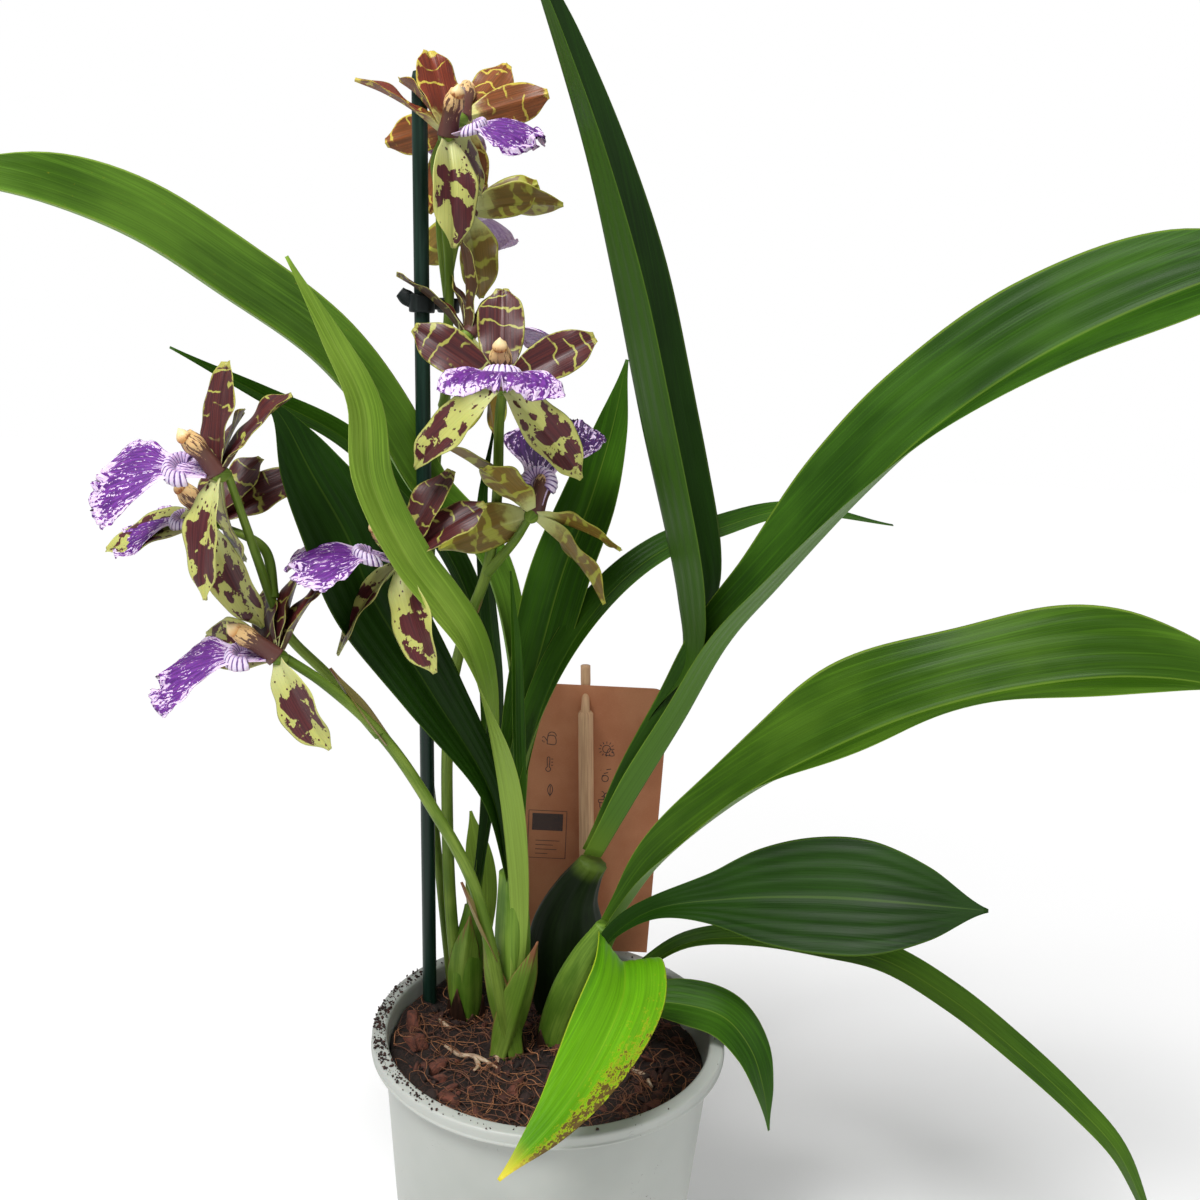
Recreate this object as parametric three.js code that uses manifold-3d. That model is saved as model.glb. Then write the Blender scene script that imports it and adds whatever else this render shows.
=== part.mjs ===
// Potted orchid in flower: lengths in millimetres, +Z up, +Y to the back.
// The origin is the centre of the pot's foot. The plant is laid out from the centre of the
// growing medium's surface, so that it follows the pot's height.
import * as THREE from "three";
import { mergeVertices } from "three/addons/utils/BufferGeometryUtils.js";
import Module from "manifold-3d";

const wasm = await Module();
wasm.setup();

// Sizes that can be changed one at a time
const POT_HEIGHT = 110;
const POT_RIM_RADIUS = 62.5;
const POT_FOOT_RADIUS = 49;
const POT_WALL = 1.2;
const RIM_WIDTH = 5;
const RIM_LIP_HEIGHT = 4.5;
const MEDIUM_DROP = 12;
const PLANT_SCALE = 1;
const LEAF_THICKNESS = 1.2;
const FLOWER_SCALE = 1;
const TEPAL_THICKNESS = 1;
const STEM_RADIUS = 2.1;
const STAKE_RADIUS = 2.6;
const STAKE_LENGTH = 352;
const STICK_RADIUS = 2.9;
const CARD_WIDTH = 62;
const CARD_HEIGHT = 115;
const CARD_THICKNESS = 0.6;

// Fits: the room left between neighbours, and how far things go into the medium
const CLEARANCE = 0.3;
const ROOT_DEPTH = 14;
const STAKE_DEPTH = 20;
const STICK_DEPTH = 18;

const MEDIUM_TOP = POT_HEIGHT - MEDIUM_DROP;
const RIM_INNER_RADIUS = POT_RIM_RADIUS - RIM_WIDTH;
const RIM_THICKNESS = 1.4;
const POT_FLOOR = 2;

const ROUND_SIDES = 48;
const STEM_SIDES = 8;
const BALL_SIDES = 8;
const SMOOTHING = 0.03;
const SHORTEST_EDGE = 0.12;
const ROD_SIDES = 12;

// ---------------------------------------------------------------- curves

function vector([x, y, z]) {
  return new THREE.Vector3(x, y, z);
}

// A smooth curve through evenly spaced numbers, read at s from 0 to 1.
function along(values, s) {
  const last = values.length - 1;
  const x = Math.min(Math.max(s, 0), 1) * last;
  const i = Math.min(Math.floor(x), last - 1);
  const t = x - i;
  const a = values[Math.max(i - 1, 0)];
  const b = values[i];
  const c = values[i + 1];
  const d = values[Math.min(i + 2, last)];
  return b + 0.5 * t * (c - a + t * (2 * a - 5 * b + 4 * c - d + t * (3 * (b - c) + d - a)));
}

function vectorAlong(vectors, s) {
  return vector([0, 1, 2].map((axis) => along(vectors.map((v) => v[axis]), s)));
}

// Places along a path, each with its tangent, the way its upper face looks and its right-hand side.
function framesAlong(path, faces, steps) {
  const curve = new THREE.CatmullRomCurve3(path.map(vector), false, "centripetal");
  const frames = [];
  for (let k = 0; k <= steps; k++) {
    const s = k / steps;
    const tangent = curve.getTangentAt(s);
    const side = new THREE.Vector3().crossVectors(tangent, vectorAlong(faces, s)).normalize();
    const up = new THREE.Vector3().crossVectors(side, tangent).normalize();
    frames.push({ s, at: curve.getPointAt(s), tangent, side, up });
  }
  return frames;
}

// ---------------------------------------------------------------- solids

function solidFrom(points, triangles) {
  const vertProperties = new Float32Array(points.flatMap((p) => [p.x, p.y, p.z]));
  const mesh = new wasm.Mesh({ numProp: 3, vertProperties, triVerts: new Uint32Array(triangles) });
  return new wasm.Manifold(mesh);
}

// The solid inside a closed three.js geometry.
function solidOf(geometry) {
  geometry.deleteAttribute("normal");
  geometry.deleteAttribute("uv");
  const merged = mergeVertices(geometry);
  const vertProperties = new Float32Array(merged.attributes.position.array);
  const triVerts = new Uint32Array(merged.index.array);
  return new wasm.Manifold(new wasm.Mesh({ numProp: 3, vertProperties, triVerts }));
}

function ball(radii, centre) {
  const unitBall = new THREE.SphereGeometry(1, BALL_SIDES, BALL_SIDES - 2);
  return solidOf(unitBall.scale(...radii).translate(...centre));
}

// Closed skin over rings of equal, even count; each end is capped by a strip across its ring. Quads on
// the two faces of a thin piece are split along the same diagonals, so that the faces stay apart.
function skin(rings) {
  const n = rings[0].length;
  const triangles = [];
  for (let k = 0; k + 1 < rings.length; k++) {
    for (let i = 0; i < n; i++) {
      const a = k * n + i;
      const b = k * n + ((i + 1) % n);
      if (i < n / 2) triangles.push(a, b, b + n, a, b + n, a + n);
      else triangles.push(a, b, a + n, b, b + n, a + n);
    }
  }
  const end = (rings.length - 1) * n;
  for (let i = 0; i < n / 2; i++) {
    const [a, b, c, d] = [i, i + 1, n - i - 1, (n - i) % n];
    if (i > 0) {
      triangles.push(a, d, c);
      triangles.push(end + a, end + c, end + d);
    }
    if (b !== c) {
      triangles.push(a, c, b);
      triangles.push(end + a, end + b, end + c);
    }
  }
  return solidFrom(rings.flat(), triangles);
}

// One ring of a blade: two wings that rise from the midrib by the fold and bend by the curl.
function bladeRing(frame, blade, room) {
  const { at, side, up, s } = frame;
  const ribs = blade.ribs ?? 2;
  const halfWidth = Math.max(along(blade.width, s), 0.5) + 2 * room;
  const halfThickness = blade.thickness / 2 + room;
  const fold = THREE.MathUtils.degToRad(along(blade.fold, s));
  const curl = THREE.MathUtils.degToRad(blade.curl ?? 0);
  const [waveHeight, waveCount, wavePhase] = blade.wave ?? [0, 1, 0];
  const spread = Math.sin(Math.PI * Math.min(2 * s, 1) * 0.5);
  const ripple = waveHeight * spread * Math.sin(2 * Math.PI * (waveCount * s + wavePhase));
  const point = (u, face) => {
    const reach = Math.abs(u) * halfWidth;
    const angle = fold + curl * Math.abs(u);
    const right = Math.sign(u) * reach * Math.cos(angle);
    const rise = reach * Math.sin(angle) + ripple * u * Math.abs(u);
    const keel = 1 / Math.max(Math.cos(angle), 0.6);
    const depth = face * halfThickness * (1 - u * u) * keel;
    return at.clone().addScaledVector(side, right).addScaledVector(up, rise + depth);
  };
  const ring = [];
  for (let i = -ribs; i <= ribs; i++) ring.push(point(i / ribs, 1));
  for (let i = ribs - 1; i > -ribs; i--) ring.push(point(i / ribs, -1));
  return ring;
}

// A leaf, sheath, bract, tepal or lip. Room grows it all round, to keep its neighbours off it.
function blade(spec, room = 0) {
  const frames = framesAlong(spec.path, spec.face, spec.steps);
  frames[0].at.addScaledVector(frames[0].tangent, -room);
  frames[spec.steps].at.addScaledVector(frames[spec.steps].tangent, room);
  return skin(frames.map((frame) => bladeRing(frame, spec, room)));
}

// A stem, bulb or rod: an ellipse carried along a path, with its own radius at each place.
function tube(spec, room = 0) {
  const sides = spec.sides ?? STEM_SIDES;
  const flatness = spec.flatness ?? 1;
  const frames = framesAlong(spec.path, spec.face ?? [[1, 0.1, 0.2], [1, 0.1, 0.2]], spec.steps);
  frames[0].at.addScaledVector(frames[0].tangent, -room);
  frames[spec.steps].at.addScaledVector(frames[spec.steps].tangent, room);
  const grow = room / Math.cos(Math.PI / sides);
  const rings = frames.map(({ at, side, up, s }) => {
    const radius = along(spec.radius, s);
    return Array.from({ length: sides }, (_, i) => {
      const turn = (2 * Math.PI * i) / sides;
      return at
        .clone()
        .addScaledVector(up, (radius + grow) * Math.cos(turn))
        .addScaledVector(side, (radius * flatness + grow) * Math.sin(turn));
    });
  });
  return skin(rings);
}

function joined(solids) {
  return wasm.Manifold.union(solids);
}

// ---------------------------------------------------------------- assembly

const root = new THREE.Group();
root.name = "potted_orchid";
const placed = [];

function touching(a, b) {
  return [0, 1, 2].every((axis) => a.min[axis] < b.max[axis] && b.min[axis] < a.max[axis]);
}

function largestOf(solid) {
  const bodies = solid.decompose();
  return bodies.reduce((best, body) => (body.volume() > best.volume() ? body : best), bodies[0]);
}

// Draws together the ends of edges too short to matter, which the fits between pieces leave behind.
function withoutShortEdges(solid) {
  const { vertProperties, triVerts, numProp } = solid.getMesh();
  const points = Array.from({ length: vertProperties.length / numProp }, (_, i) =>
    vector(vertProperties.slice(i * numProp, i * numProp + 3)),
  );
  const count = triVerts.length / 3;
  let triangles = Array.from({ length: count }, (_, i) => [...triVerts.slice(3 * i, 3 * i + 3)]);
  const around = (v) => new Set(triangles.filter((t) => t.includes(v)).flat());
  const collapsible = ([a, b]) => {
    if (points[a].distanceTo(points[b]) > SHORTEST_EDGE) return false;
    const near = around(a);
    return [...around(b)].filter((v) => v !== a && v !== b && near.has(v)).length === 2;
  };
  const edges = () => triangles.flatMap(([a, b, c]) => [[a, b], [b, c], [c, a]]).filter(([a, b]) => a < b);
  for (let edge = edges().find(collapsible); edge; edge = edges().find(collapsible)) {
    const [keep, drop] = edge;
    triangles = triangles
      .map((t) => t.map((v) => (v === drop ? keep : v)))
      .filter(([a, b, c]) => a !== b && b !== c && c !== a);
  }
  return solidFrom(points, triangles.flat());
}

function addMesh(name, solid, look) {
  const { vertProperties, triVerts, numProp } = solid.getMesh();
  const geometry = new THREE.BufferGeometry();
  const positions = new Float32Array(triVerts.length * 3);
  triVerts.forEach((vertex, i) => {
    for (let axis = 0; axis < 3; axis++) {
      positions[3 * i + axis] = vertProperties[numProp * vertex + axis];
    }
  });
  geometry.setAttribute("position", new THREE.BufferAttribute(positions, 3));
  geometry.computeVertexNormals();
  const mesh = new THREE.Mesh(geometry, new THREE.MeshStandardMaterial(look));
  mesh.name = name;
  root.add(mesh);
}

// Adds a piece. It gives way to every piece before it, each grown by the clearance.
function place(name, look, build) {
  let solid = build(0);
  const guard = build(CLEARANCE);
  for (const other of placed) {
    if (touching(solid.boundingBox(), other.box)) solid = solid.subtract(other.guard);
  }
  placed.push({ guard, box: guard.boundingBox() });
  addMesh(name, withoutShortEdges(largestOf(solid).simplify(SMOOTHING)), look);
}

const matte = (color, roughness = 0.55) => ({ color, roughness, metalness: 0 });
const LEAF_GREEN = matte(0x3f7a2c, 0.42);
const LIME_GREEN = matte(0x86ad35, 0.45);
const STEM_GREEN = matte(0x7f9c4a);
const BULB_GREEN = matte(0x2c4a22);
const TEPAL_BROWN = matte(0x6b3a28);
const LIP_VIOLET = matte(0x7a46b4);
const POT_GREY = matte(0xbec4be, 0.5);
const MEDIUM_BROWN = matte(0x3c2319, 0.9);
const STAKE_GREEN = matte(0x12302a, 0.5);
const CARD_KRAFT = matte(0xac6e4b, 0.8);
const STICK_BEIGE = matte(0xc9a483, 0.7);

// Plant places are measured from the medium's surface. The rooted feet spread with the pot's rim,
// and the plant above them with its own scale.
const LAYOUT_RIM = 57.5;
const FREE_HEIGHT = 60;

function planted([x, y, z]) {
  const feet = RIM_INNER_RADIUS / LAYOUT_RIM;
  const spread = feet + (PLANT_SCALE - feet) * THREE.MathUtils.smoothstep(z, 0, FREE_HEIGHT);
  return [x * spread, y * spread, MEDIUM_TOP + z * PLANT_SCALE];
}

// ---------------------------------------------------------------- stake, stick and card

// Feet stand at shares of the rim's inner radius, so that they stay inside the pot.
const STAKE_FOOT = [-0.8, 0.4174].map((share) => share * RIM_INNER_RADIUS);
const STAKE_HEAD = planted([-55, 24.0005, 330]);
const STAKE_LEAN = [
  STAKE_HEAD[0] - STAKE_FOOT[0], STAKE_HEAD[1] - STAKE_FOOT[1], STAKE_HEAD[2] - MEDIUM_TOP,
];

function leaning(foot, lean, z) {
  return [foot[0] + (lean[0] * z) / lean[2], foot[1] + (lean[1] * z) / lean[2], MEDIUM_TOP + z];
}

const stakeTop = STAKE_LENGTH - STAKE_DEPTH;

place("stake", STAKE_GREEN, (room) =>
  tube(
    {
      path: [-STAKE_DEPTH, stakeTop / 2, stakeTop].map((z) => leaning(STAKE_FOOT, STAKE_LEAN, z)),
      radius: [STAKE_RADIUS, STAKE_RADIUS, STAKE_RADIUS],
      sides: ROD_SIDES,
      steps: 2,
    },
    room,
  ),
);

const STICK_FOOT = [0.2261, 0.8696].map((share) => share * RIM_INNER_RADIUS);
const STICK_LEAN = [-6, 4, 116];
const STICK_TOP = 128;

place("card_stick", STICK_BEIGE, (room) =>
  tube(
    {
      path: [-STICK_DEPTH, STICK_TOP / 2, STICK_TOP].map((z) => leaning(STICK_FOOT, STICK_LEAN, z)),
      radius: [STICK_RADIUS, STICK_RADIUS, STICK_RADIUS],
      sides: ROD_SIDES,
      steps: 2,
    },
    room,
  ),
);

// The card stands just behind the stick and leans with it.
const CARD_LEFT = -23;
const CARD_BOTTOM = 6;
const CARD_CORNER = 6;
const CARD_TAPER = 3;

function card(room) {
  const outline = new THREE.Shape();
  const right = CARD_WIDTH + room;
  const top = CARD_HEIGHT + room;
  outline.moveTo(CARD_TAPER - room, -room);
  outline.lineTo(right - CARD_TAPER, -room);
  outline.lineTo(right, top - CARD_CORNER);
  outline.quadraticCurveTo(right, top, right - CARD_CORNER, top);
  outline.lineTo(CARD_CORNER - room, top);
  outline.quadraticCurveTo(-room, top, -room, top - CARD_CORNER);
  outline.closePath();
  const settings = { depth: CARD_THICKNESS + 2 * room, bevelEnabled: false, curveSegments: 3 };
  const lean = STICK_LEAN[1] / STICK_LEAN[2];
  const behind = STICK_FOOT[1] + STICK_RADIUS + 2 * CLEARANCE + CARD_THICKNESS + room;
  const upright = new THREE.Matrix4().set(
    1, 0, 0, CARD_LEFT,
    0, lean, -1, behind + lean * CARD_BOTTOM,
    0, 1, 0, MEDIUM_TOP + CARD_BOTTOM,
    0, 0, 0, 1,
  );
  return solidOf(new THREE.ExtrudeGeometry(outline, settings).applyMatrix4(upright));
}

place("care_card", CARD_KRAFT, card);

// ---------------------------------------------------------------- growths

function growth(name, look, spec) {
  place(name, look, (room) => tube({ steps: 6, sides: 10, ...spec, path: spec.path.map(planted) }, room));
}

growth("growth_front", STEM_GREEN, {
  path: [[-14, 1, -ROOT_DEPTH], [-14, 1, 3], [-14, 2, 30], [-15, 4, 68]],
  radius: [3.5, 4.4, 6.2, 4.8],
  flatness: 1.2,
});
growth("growth_back", STEM_GREEN, {
  path: [[-32, 20, -ROOT_DEPTH], [-32, 20, 6], [-32, 21, 26], [-31, 25, 44]],
  radius: [4, 5.2, 5, 2.6],
});
growth("pseudobulb", BULB_GREEN, {
  path: [[4, 27, -ROOT_DEPTH], [3, 27, 6], [4, 26, 30], [6, 25, 48], [10, 23, 59], [13, 21, 65]],
  radius: [7, 10.5, 14, 13.5, 8.5, 5.4],
  flatness: 0.72,
});
growth("growth_right", STEM_GREEN, {
  path: [[2, 9, -ROOT_DEPTH], [2, 9, 2], [7, 8, 20], [14, 6, 38], [19, 5, 48]],
  radius: [5.5, 7, 7.6, 6.6, 4.4],
  flatness: 0.8,
});

// ---------------------------------------------------------------- flowers and their stems

const DORSAL = { length: 32, width: [2.4, 5, 6.8, 7.2, 6.2, 2], bow: 1.5 };
const PETAL = { length: 31, width: [2, 4.2, 6, 6.6, 5.6, 1.6], bow: 2 };
const LATERAL = { length: 36, width: [2.6, 6, 7.8, 7.8, 5.8, 1], bow: 2.5 };
const TEPAL_FOLD = [30, 14, 10, 12];
const HUB_RADIUS = 3;
const LIP_ARCH = [[0, 0], [11, 1.5], [24, -1], [35, -7]];
const LIP_WIDTH = [3.5, 4.5, 6, 13, 17, 17.5, 12];
const CALLUS = [4.2, 4.6, 2.6];
const COLUMN_LENGTH = 13;
const COLUMN_REACH = 3;
const COLUMN_RADIUS = [3, 3, 2.6, 1.2];
const COLUMN_FLATNESS = 1.3;

// Directions: the way the flower looks, then its dorsal sepal, petals, lateral sepals, column and lip.
// lipUp is the way the lip's upper side looks. A tepal may carry its own look and share of full length.
const FLOWERS = [
  {
    at: [-98, -48, 209],
    face: [-0.6, -0.78, 0.1],
    dorsal: { to: [0, 0.25, 0.97] },
    petals: [{ to: [0.66, -0.05, 0.74], face: [-0.75, -0.45, 0.5] }, { to: [-0.05, 0.85, 0.5] }],
    laterals: [{ to: [-0.06, -0.25, -0.96] }, { to: [0, 0.6, -0.8] }],
    column: [-0.5, -0.1, 0.86],
    lip: [-1, -0.05, 0],
    lipUp: [0, -0.6, 0.8],
  },
  {
    at: [-108, -26, 191],
    face: [-0.5, -0.8, 0.2],
    dorsal: { to: [-0.1, 0.75, 0.65] },
    petals: [{ to: [0.5, 0.3, 0.75], share: 0.8 }, { to: [0.86, 0.25, 0.5] }],
    laterals: [{ to: [0.5, -0.3, -0.8] }, { to: [-0.9, 0.1, -0.28], face: [-0.2, -0.6, 0.8] }],
    column: [-0.5, 0.1, 0.8],
    lip: [-0.95, 0.15, -0.05],
    lipUp: [0, -0.45, 0.9],
    lipShare: 0.8,
  },
  {
    at: [-83, -44, 155],
    face: [-0.65, -0.65, 0.3],
    dorsal: { to: [0.12, 0.5, 0.86], face: [-0.85, -0.4, 0.3] },
    petals: [{ to: [0.5, 0.2, 0.84], face: [-0.8, -0.3, 0.5] }, { to: [-0.35, 0.8, 0.5] }],
    laterals: [{ to: [0.55, -0.35, -0.76], share: 0.88 }, { to: [-0.8, 0.6, 0] }],
    column: [-0.75, -0.15, 0.64],
    lip: [-0.97, -0.05, -0.1],
    lipUp: [0, -0.38, 0.92],
  },
  {
    at: [-50, -27, 182],
    face: [-0.6, -0.7, 0.3],
    dorsal: { to: [0.42, 0.25, 0.87] },
    petals: [{ to: [0.8, 0.1, 0.6] }, { to: [-0.35, 0.6, 0.7] }],
    laterals: [{ to: [0.35, -0.4, -0.84] }, { to: [-0.55, 0, -0.84], face: [-0.7, -0.4, 0.5] }],
    column: [-0.35, -0.3, 0.88],
    lip: [-0.85, -0.5, 0.12],
    lipUp: [-0.1, -0.3, 0.95],
    lipShare: 0.95,
  },
  {
    at: [-21, -28, 236],
    face: [-0.05, -0.95, 0.2],
    dorsal: { to: [-0.06, 0.35, 0.94], share: 0.95 },
    petals: [{ to: [-0.86, 0.05, 0.52] }, { to: [0.85, 0.1, 0.5] }],
    laterals: [
      { to: [-0.71, 0.05, -0.7], face: [-0.5, -0.75, 0.5] },
      { to: [0.67, 0.1, -0.72], face: [0.4, -0.8, 0.4] },
    ],
    column: [0, -0.35, 0.94],
    lip: [0.08, -1, 0.2],
    lipUp: [0, 0, 1],
  },
  {
    at: [-12, -12, 196],
    face: [0.35, 0.8, 0.45],
    dorsal: { to: [-0.55, -0.55, 0.62], share: 0.8 },
    petals: [
      { to: [-0.8, -0.05, 0.6], face: [0.5, 0.3, 0.8], share: 1.15 },
      { to: [0.9, -0.3, -0.25], face: [0.3, 0.4, 0.85] },
    ],
    laterals: [{ to: [-0.75, 0.3, -0.35] }, { to: [0.67, -0.15, -0.72], face: [0.75, 0.4, 0.5] }],
    column: [0.25, 0.2, 0.95],
    lip: [0.15, 0.45, 0.85],
    lipUp: [-0.2, -0.8, 0.55],
  },
  {
    at: [-44, 8, 310.5],
    face: [0.55, -0.8, 0.1],
    dorsal: { to: [-0.25, 0.25, 0.93], share: 0.86 },
    petals: [
      { to: [-0.85, -0.25, 0.44], face: [0.55, -0.15, 0.8] },
      { to: [-0.55, 0.55, 0.6], face: [0.6, 0, 0.78] },
    ],
    laterals: [{ to: [0.12, -0.3, -0.94] }, { to: [0.3, 0.8, -0.5], face: [0.85, -0.2, 0.2], share: 0.8 }],
    column: [0.15, -0.3, 0.94],
    lip: [0.9, -0.35, 0.1],
    lipUp: [0, -0.45, 0.9],
    lipShare: 0.85,
  },
  {
    at: [-41, 40, 291],
    face: [0.35, 0.85, 0.1],
    dorsal: { to: [-0.1, 0.6, 0.8] },
    petals: [{ to: [-0.7, 0.5, -0.6], share: 0.9 }, { to: [0.9, -0.05, 0.38], share: 0.85 }],
    laterals: [
      { to: [0.97, 0, 0.12], face: [0.1, 0.6, 0.8], share: 0.92 },
      { to: [0.2, -0.1, -0.95], share: 0.8 },
    ],
    column: [0.2, 0.5, 0.85],
    lip: [0.1, 0.98, -0.1],
    lipUp: [0, 0, 1],
    lipShare: 0.8,
  },
  {
    at: [-43, 34, 320],
    face: [0.3, 0.9, 0.2],
    dorsal: { to: [0.4, 0.6, 0.66] },
    petals: [{ to: [-0.8, 0.4, -0.2] }, { to: [0.88, 0.2, 0.32] }],
    laterals: [{ to: [-0.35, 0.5, -0.8] }, { to: [0, 0.55, -0.83] }],
    column: [0, 0.4, 0.9],
    lip: [-0.3, 0.95, -0.05],
    lipUp: [0, 0, 1],
    lipShare: 0.8,
  },
  {
    at: [-37, 14, 250],
    face: [0.7, 0.5, 0.5],
    dorsal: { to: [-0.1, 0.2, 0.97], face: [0.9, 0.3, 0.2] },
    petals: [
      { to: [-0.76, 0.2, 0.6], face: [0.64, 0.05, 0.76] },
      { to: [-0.3, 0.75, 0.6], face: [0.7, 0.2, 0.6] },
    ],
    laterals: [{ to: [-0.1, 0.3, -0.94] }, { to: [0.3, 0.1, -0.94] }],
    column: [0.45, 0.4, 0.8],
    lip: [0.85, 0.5, 0.1],
    lipUp: [0, 0, 1],
  },
];

function hubOf(flower) {
  return vector(planted(flower.at));
}

function toward(start, moves) {
  const place = start.clone();
  moves.forEach(([direction, length]) => place.addScaledVector(direction, length));
  return place;
}

function tepal(flower, kind, { to, face = flower.face, share = 1 }, room) {
  const look = vector(face).normalize();
  const outward = vector(to).normalize();
  const length = kind.length * share * FLOWER_SCALE;
  const path = [0.04, 0.35, 0.7, 1].map((t) =>
    toward(hubOf(flower), [[outward, t * length], [look, 4 * kind.bow * t * (1 - t)]]).toArray(),
  );
  const width = kind.width.map((w) => w * FLOWER_SCALE);
  const shape = { path, width, face: [look.toArray(), look.toArray()], fold: TEPAL_FOLD, ribs: 1, steps: 4 };
  return blade({ ...shape, thickness: TEPAL_THICKNESS }, room);
}

function tepals(flower, room) {
  const radius = HUB_RADIUS + room;
  const hub = ball([radius, radius, radius], hubOf(flower));
  return joined([
    hub,
    tepal(flower, DORSAL, flower.dorsal, room),
    ...flower.petals.map((petal) => tepal(flower, PETAL, petal, room)),
    ...flower.laterals.map((lateral) => tepal(flower, LATERAL, lateral, room)),
    column(flower, room),
  ]);
}

// The lip leaves the front of the hub on a narrow claw and opens into a broad fan.
function lip(flower, room) {
  const outward = vector(flower.lip).normalize();
  const upward = vector(flower.lipUp).normalize();
  const scale = FLOWER_SCALE * (flower.lipShare ?? 1);
  const start = HUB_RADIUS + 2 * CLEARANCE;
  const path = LIP_ARCH.map(([reach, rise]) =>
    toward(hubOf(flower), [[outward, start + reach * scale], [upward, rise * scale]]).toArray(),
  );
  const fan = blade(
    {
      path,
      width: LIP_WIDTH.map((w) => w * scale),
      face: [upward.toArray(), upward.toArray()],
      fold: [20, 5, -8, -12],
      thickness: TEPAL_THICKNESS,
      ribs: 1,
      steps: 6,
    },
    room,
  );
  const seat = vector(path[0]).lerp(vector(path[1]), 0.7);
  return joined([fan, ball(CALLUS.map((size) => size * scale + room), seat)]);
}

function column(flower, room) {
  const outward = vector(flower.column).normalize();
  const face = vector(flower.face).normalize();
  const length = COLUMN_LENGTH * FLOWER_SCALE;
  const path = [0, 0.5, 1].map((t) =>
    toward(hubOf(flower), [[outward, t * length], [face, COLUMN_REACH * t * t + 1]]).toArray(),
  );
  const radius = COLUMN_RADIUS.map((r) => r * FLOWER_SCALE);
  const shape = { path, radius, face: [face.toArray(), face.toArray()], flatness: COLUMN_FLATNESS };
  return tube({ ...shape, sides: 6, steps: 3 }, room);
}

// Each spike: its stem, its side stems and the papery bracts at its nodes.
const SPIKES = {
  spike_front: {
    stems: [
      {
        path: [[-14, -3, 4], [-20, -7, 39], [-28, -12, 72], [-41, -20, 101], [-55, -28, 126],
          [-71, -39, 146]],
        end: 2,
      },
      {
        path: [[-56, -29, 127], [-72, -30, 146], [-84, -30, 158], [-88, -32, 168], [-92, -34, 182]],
        end: 0,
      },
      { path: [[-88, -32, 170], [-92, -27, 184]], end: 1 },
    ],
    bracts: [
      { path: [[-20, -7, 40], [-26, -11, 56], [-31, -15, 72]], width: [2.6, 2.8, 0.5] },
      { path: [[-55, -28, 124], [-62, -33, 136], [-70, -36, 150]], width: [3, 3.4, 0.5] },
    ],
  },
  spike_middle: {
    stems: [
      {
        path: [[-34, 20, 4], [-39, 22, 46], [-41, 22, 86], [-41, 20, 109], [-39, 16, 133], [-34, 10, 154],
          [-27, 4, 175], [-24, -2, 199], [-23, -12, 225]],
        end: 4,
      },
      { path: [[-35, 11, 152], [-42, -8, 170]], end: 3 },
      { path: [[-27, 4, 174], [-18, -4, 186]], end: 5 },
    ],
    bracts: [{ path: [[-35, 12, 152], [-31, 8, 163], [-27, 3, 176]], width: [2.4, 2.6, 0.5] }],
  },
  spike_back: {
    stems: [
      {
        path: [[-39, 32, 6], [-43, 33, 38], [-47, 34, 71], [-51, 34, 107], [-51, 34, 140], [-50, 34, 177],
          [-48, 35, 217], [-46, 36, 240], [-46, 37, 268]],
        end: 7,
      },
      { path: [[-46, 36, 246], [-45, 30, 270], [-46, 20, 290], [-48, 12, 303]], end: 6 },
      { path: [[-47, 35, 226], [-42, 24, 240]], end: 9 },
      { path: [[-46, 37, 262], [-49, 36, 284], [-49, 37, 304]], end: 8 },
    ],
    bracts: [{ path: [[-48, 35, 213], [-47, 35, 224], [-45, 36, 238]], width: [2.2, 2.4, 0.5] }],
  },
};

const STEM_TAPER = [1.15, 1, 0.9, 0.75];
const THIN_SHARE = 0.75;
const THIN_STEMS_BEHIND = 25;

function spike({ stems, bracts }, room) {
  const parts = stems.map(({ path, end }, index) => {
    const flower = FLOWERS[end];
    const back = vector(flower.face).normalize();
    const last = toward(hubOf(flower), [[back, -(HUB_RADIUS + 2 * CLEARANCE)]]).toArray();
    const thin = index > 0 || path[0][1] > THIN_STEMS_BEHIND ? THIN_SHARE : 1;
    const radius = STEM_TAPER.map((share) => share * thin * STEM_RADIUS);
    return tube({ path: [...path.map(planted), last], radius, sides: 6, steps: 3 + path.length }, room);
  });
  const scales = bracts.map(({ path, width }) =>
    blade(
      {
        path: path.map(planted),
        width,
        face: [[1, -0.3, 0.4], [1, -0.3, 0.4]],
        fold: [50, 50],
        thickness: 2,
        ribs: 1,
        steps: 4,
      },
      room,
    ),
  );
  return joined([...parts, ...scales]);
}

for (const [name, spec] of Object.entries(SPIKES)) {
  place(name, STEM_GREEN, (room) => spike(spec, room));
}

// A collar round the stake, tied by an arm to a loop round the flower stem behind it.
const CLIP_HEIGHT = 260;
const CLIP_DEPTH = 6;
const CLIP_WALL = 1.8;
const CLIP_STEM = [-46, 37];
const CLIP_SIDES = 20;
const CLIP_ARM = 2.2;
const CLIP_LEVER = 5;
const CLIP_LEVER_TILT = 20;

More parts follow.
